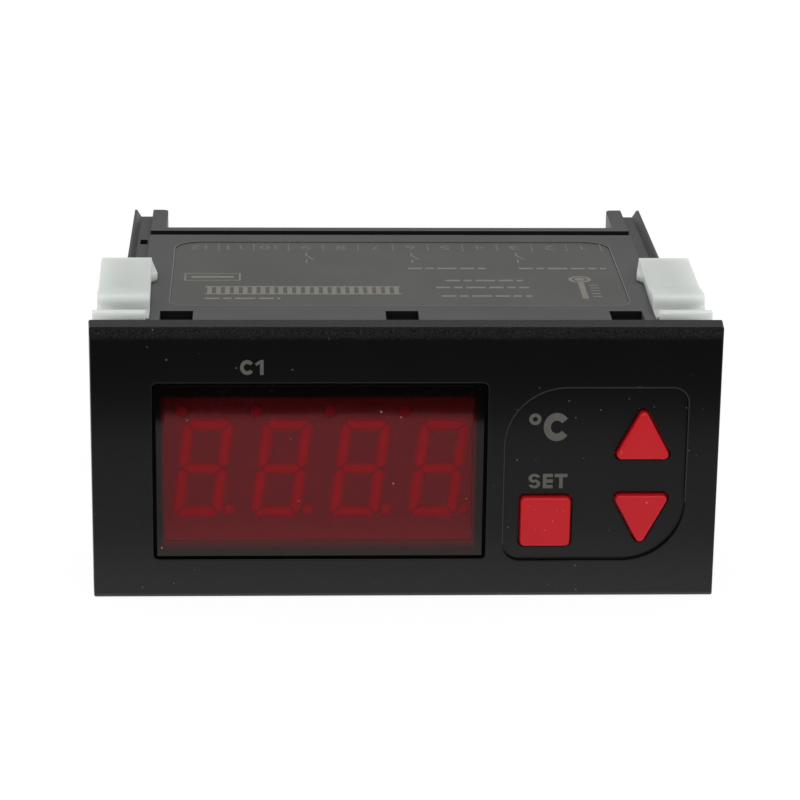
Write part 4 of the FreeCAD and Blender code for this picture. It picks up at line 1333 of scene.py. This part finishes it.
    def _ladder(self, label: Print, place: Vector) -> None:
        """Prints a field of evenly spaced bars between two rails.

        Args:
            label: The print.
            place: The field's middle.
        """
        width, height = self.ladder_size
        pitch = width / self.ladder_bars
        for side in (-1, 1):
            rail = place + label.up * side * (height - self.ladder_rail) / 2
            label.bar(rail, width, self.ladder_rail)
        for spot in label.spread(place, self.ladder_bars, pitch):
            label.bar(spot, self.ladder_share * pitch, height - 2 * self.ladder_rail)

    def _line(self, label: Print, place: Vector, width: float) -> None:
        """Prints a line of small print as a row of dashes of three lengths.

        Args:
            label: The print.
            place: The line's middle.
            width: Its width.
        """
        start = -width / 2
        turn = 0
        while start < width / 2:
            length = min(self.dashes[turn % len(self.dashes)], width / 2 - start)
            label.bar(place + Vector((start + length / 2, 0, 0)), length, self.line_h)
            start += length + self.dash_gap
            turn += 1

    def _gauge(self, label: Print, place: Vector) -> None:
        """Prints a plain picture of a temperature gauge with its marks.

        Args:
            label: The print.
            place: The gauge's middle.
        """
        for across, stroke in self.bulb_rings:
            label.arc(place + Vector((0, self.bulb_y, 0)), across, across, stroke)
        label.bar(place + Vector((0, self.stem_y, 0)), *self.stem_size)
        for i in range(self.mark_count):
            mark = Vector((self.mark_start[0], self.mark_start[1] + i * self.mark_pitch, 0))
            label.bar(place + mark, *self.mark_size)


@dataclass
class FixingClips(Assembly):
    """The two clips that slide on the housing's rails."""

    finish: Finish = Moulded("clip_grey", colour=(0.513, 0.547, 0.517), roughness=0.5, shine=0.4, grain=0.5,
                             grain_depth=0.01, cloud=0.04, milk=1.0, milk_depth=6.0, edge=0.12)

    def build(self) -> None:
        """Dresses both clips."""
        self.dress(self.finish, "left_clip", "right_clip")


@dataclass
class Terminals(Assembly):
    """The terminal block with its clamps and screws."""

    block: Finish = Moulded("terminal_black", colour=(0.03, 0.03, 0.031), roughness=0.5, grain=0.3)
    clamp: Finish = Plated("clamp_plate", colour=(0.68, 0.63, 0.48))
    screw: Finish = Plated("screw_zinc", colour=(0.62, 0.62, 0.6), roughness=0.3)
    ink: Finish = Ink("terminal_ink", colour=(0.45, 0.45, 0.43))
    ways: int = 12
    way_pitch: float = 5.0
    number_back: float = 1.5
    number_h: float = 1.5

    def build(self) -> None:
        """Dresses the block and its metal, and numbers the terminals."""
        rear_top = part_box("terminal_block")[1] / MM
        numbers = Print(Facing.TOP_FROM_REAR)
        middle = Vector((0, rear_top.y - self.number_back, rear_top.z))
        for way, place in enumerate(numbers.spread(middle, self.ways, self.way_pitch)):
            numbers.figures(way + 1, place, self.number_h)
        self.add("terminal_numbers", numbers.bm, self.ink)
        self.dress(self.block, "terminal_block")
        self.dress(self.clamp, "terminal_clamps")
        self.dress(self.screw, "terminal_screws")


@dataclass
class Electronics(Assembly):
    """The two boards and what they carry, out of sight in the housing."""

    dressing: Sequence[tuple[Finish, Sequence[str]]] = (
        (SolderMask("solder_mask"), ("display_board", "main_board")),
        (Plated("tinned_pin"), ("display_pins", "header_pins")),
        (Moulded("header_black", colour=(0.03, 0.03, 0.032), roughness=0.55), ("board_header",)),
        (Moulded("chip_epoxy", colour=(0.02, 0.02, 0.022), roughness=0.6, grain=0.12),
         ("microcontroller", "voltage_regulator")),
        (Banded("diode_body", colour=(0.02, 0.02, 0.02), band=(0.5, 0.5, 0.48), axis="x", period=5.2,
                start=7.5, share=0.22), ("rectifier_diodes",)),
        (Banded("wound_core", colour=(0.1, 0.08, 0.03), band=(0.06, 0.06, 0.065), axis="y", period=0.7,
                share=0.5), ("transformer",)),
        (Moulded("relay_blue", colour=(0.03, 0.07, 0.2), roughness=0.4), ("relay",)),
        (Banded("capacitor_sleeve", colour=(0.02, 0.03, 0.06), band=(0.35, 0.36, 0.38), axis="x",
                period=8.0, start=7.5, share=0.25), ("smoothing_capacitor",)),
        (Moulded("film_case", colour=(0.45, 0.38, 0.1), roughness=0.35), ("film_capacitor",)),
        (Moulded("varistor_blue", colour=(0.03, 0.12, 0.3), grain=0.6), ("varistor",)))

    def build(self) -> None:
        """Dresses every electronic part."""
        for finish, nodes in self.dressing:
            self.dress(finish, *nodes)


@dataclass
class Studio:
    """The white table, the soft light and the camera."""

    tilt: float = 2.81
    contact_z: float = -17.5
    table: float = 3000.0
    table_tone: float = 0.8
    table_shade: float = 0.1
    table_light: float = 0.92
    mirrored_span: Pair = (-34.0, -6.0)
    mirrored_near: float = 1.0
    mirrored_far: float = 0.57
    card_w: float = 1500.0
    card_lift: float = 0.5
    card_start: float = -79.6
    card_bend: float = -320.0
    card_end: float = -440.0
    card_top: float = 260.0
    card_tone: float = 0.012
    card_top_tone: float = 0.5
    screen_y: float = 480.0
    screen_low: float = -30.0
    screen_top: float = 520.0
    screen_tone: float = 0.22
    ambient: float = 0.88
    lamp_size: Pair = (700.0, 500.0)
    lamp_place: Triple = (0.0, 0.0, 600.0)
    lamp_power: float = 1.2
    azimuth: float = -2.535
    elevation: float = 18.526
    roll: float = -0.757
    distance: float = 378.0
    aim: Triple = (-0.85, -3.2, 8.255)
    focal: float = 139.49
    sensor: float = 36.0
    clip_start: float = 10.0

    def build(self) -> None:
        """Sets the stage."""
        scene = bpy.context.scene
        scene.view_settings.view_transform = "Standard"
        scene.world = self._world()
        self._table()
        self._cards()
        self._lamp()
        scene.camera = self._camera()

    @staticmethod
    def _rays(paint: Paint, *kinds: str) -> list[Signal]:
        """1 for rays of each of some kinds, and 0 for others."""
        path = paint.node("ShaderNodeLightPath")
        return [Signal(paint, path.outputs[f"Is {kind} Ray"]) for kind in kinds]

    def _world(self) -> World:
        """Makes plain light from all sides in front of a white backdrop.

        Returns:
            The world.
        """
        world = bpy.data.worlds.new("surroundings")
        world.use_nodes = True
        paint = Paint(world.node_tree)
        light, white = (paint.shader("ShaderNodeBackground", {"Color": WHITE, "Strength": strength})
                        for strength in (self.ambient, 1.0))
        straight, glossy, through = self._rays(paint, "Camera", "Glossy", "Transmission")
        seen = straight.larger(glossy).larger(through)
        paint.finish(paint.shader("ShaderNodeMixShader", {0: seen, 1: light, 2: white}),
                     "ShaderNodeOutputWorld")
        return world

    def _table(self) -> None:
        """Adds a white table that keeps the object's shadow, tilted to meet the bezel and both clips."""
        material, paint = new_material("table_white")
        plain, shaded = (paint.shader("ShaderNodeBsdfDiffuse", {"Color": (*scaled(EVEN, tone), 1.0)})
                         for tone in (self.table_tone, self.table_shade))
        white = paint.shader("ShaderNodeAddShader", {0: shaded, 1: paint.glow(self.table_light)})
        straight, glossy = self._rays(paint, "Camera", "Glossy")
        shown = paint.shader("ShaderNodeMixShader", {0: straight, 1: plain, 2: white})
        near = paint.along("y").step(*self.mirrored_span)
        mirrored = paint.glow(self.mirrored_far + (self.mirrored_near - self.mirrored_far) * near)
        paint.finish(paint.shader("ShaderNodeMixShader", {0: glossy, 1: shown, 2: mirrored}))
        material.cycles.emission_sampling = "NONE"
        bm = bmesh.new()
        bmesh.ops.create_grid(bm, x_segments=2, y_segments=2, size=self.table / 2 * MM)
        lean = Matrix.Rotation(math.radians(self.tilt), 4, "X")
        lay = Matrix.Translation((0, 0, self.contact_z * MM)) @ lean
        bmesh.ops.transform(bm, matrix=lay, verts=bm.verts)
        new_piece("table", bm, material)

    def _cards(self) -> None:
        """Adds a dark sweep before the table and a grey screen behind it, seen only in reflections."""
        slope = math.tan(math.radians(self.tilt))
        near, bend = (self.contact_z + slope * y + self.card_lift for y in (self.card_start, self.card_bend))
        self._card("dark_sweep", (self.card_tone, self.card_top_tone),
                   [(self.card_start, near), (self.card_bend, bend), (self.card_end, self.card_top)])
        self._card("grey_screen", (self.screen_tone, self.screen_tone),
                   [(self.screen_y, self.screen_low), (self.screen_y, self.screen_top)])

    def _card(self, name: str, tones: Pair, profile: Sequence[Pair]) -> None:
        """Adds one card.

        Args:
            name: The card's name.
            tones: How bright it is at the table and at its top.
            profile: The y and z of the points that it passes, in millimetres.
        """
        material, paint = new_material(name)
        low, high = tones
        paint.finish(paint.glow(low + (high - low) * paint.along("z").step(0.0, profile[-1][1])))
        material.cycles.emission_sampling = "NONE"
        bm = bmesh.new()
        line = [bm.verts.new(Vector((-self.card_w / 2, y, z)) * MM) for y, z in profile]
        edges = [bm.edges.new(pair) for pair in zip(line, line[1:])]
        swept = bmesh.ops.extrude_edge_only(bm, edges=edges)["geom"]
        moved = [item for item in swept if isinstance(item, BMVert)]
        bmesh.ops.translate(bm, vec=(self.card_w * MM, 0, 0), verts=moved)
        card = new_piece(name, bm, material)
        card.visible_camera = False
        card.visible_diffuse = False
        card.visible_shadow = False
        card.visible_transmission = False

    def _lamp(self) -> None:
        """Adds one large soft lamp overhead."""
        light = bpy.data.lights.new("overhead", "AREA")
        light.shape = "RECTANGLE"
        light.size, light.size_y = (side * MM for side in self.lamp_size)
        light.energy = self.lamp_power
        lamp = bpy.data.objects.new("overhead", light)
        lamp.location = Vector(self.lamp_place) * MM
        bpy.context.scene.collection.objects.link(lamp)

    def _camera(self) -> Object:
        """Adds the camera at the photograph's viewing angle.

        Returns:
            The camera.
        """
        turn, rise, roll = (math.radians(a) for a in (self.azimuth, self.elevation, self.roll))
        back = Vector((math.sin(turn) * math.cos(rise), -math.cos(turn) * math.cos(rise), math.sin(rise)))
        right = (-back).cross(Vector((0, 0, 1))).normalized()
        down = (-back).cross(right)
        rolled = math.cos(roll) * right + math.sin(roll) * down
        up = math.sin(roll) * right - math.cos(roll) * down
        data = bpy.data.cameras.new("camera")
        data.sensor_width = self.sensor
        data.lens = self.focal
        data.clip_start = self.clip_start * MM
        camera = bpy.data.objects.new("camera", data)
        camera.matrix_world = (Matrix.Translation((Vector(self.aim) + back * self.distance) * MM)
                               @ Matrix([rolled, up, back]).transposed().to_4x4())
        bpy.context.scene.collection.objects.link(camera)
        return camera


def main() -> None:
    """Builds the sub-assemblies in order, then the stage."""
    logging.basicConfig(level=logging.INFO, format="%(message)s")
    for assembly in (FrontBezel(), Display(), Keys(), Label(), Housing(), FixingClips(), Terminals(),
                     Electronics()):
        assembly.build()
    Studio().build()


if __name__ == "__main__":
    main()
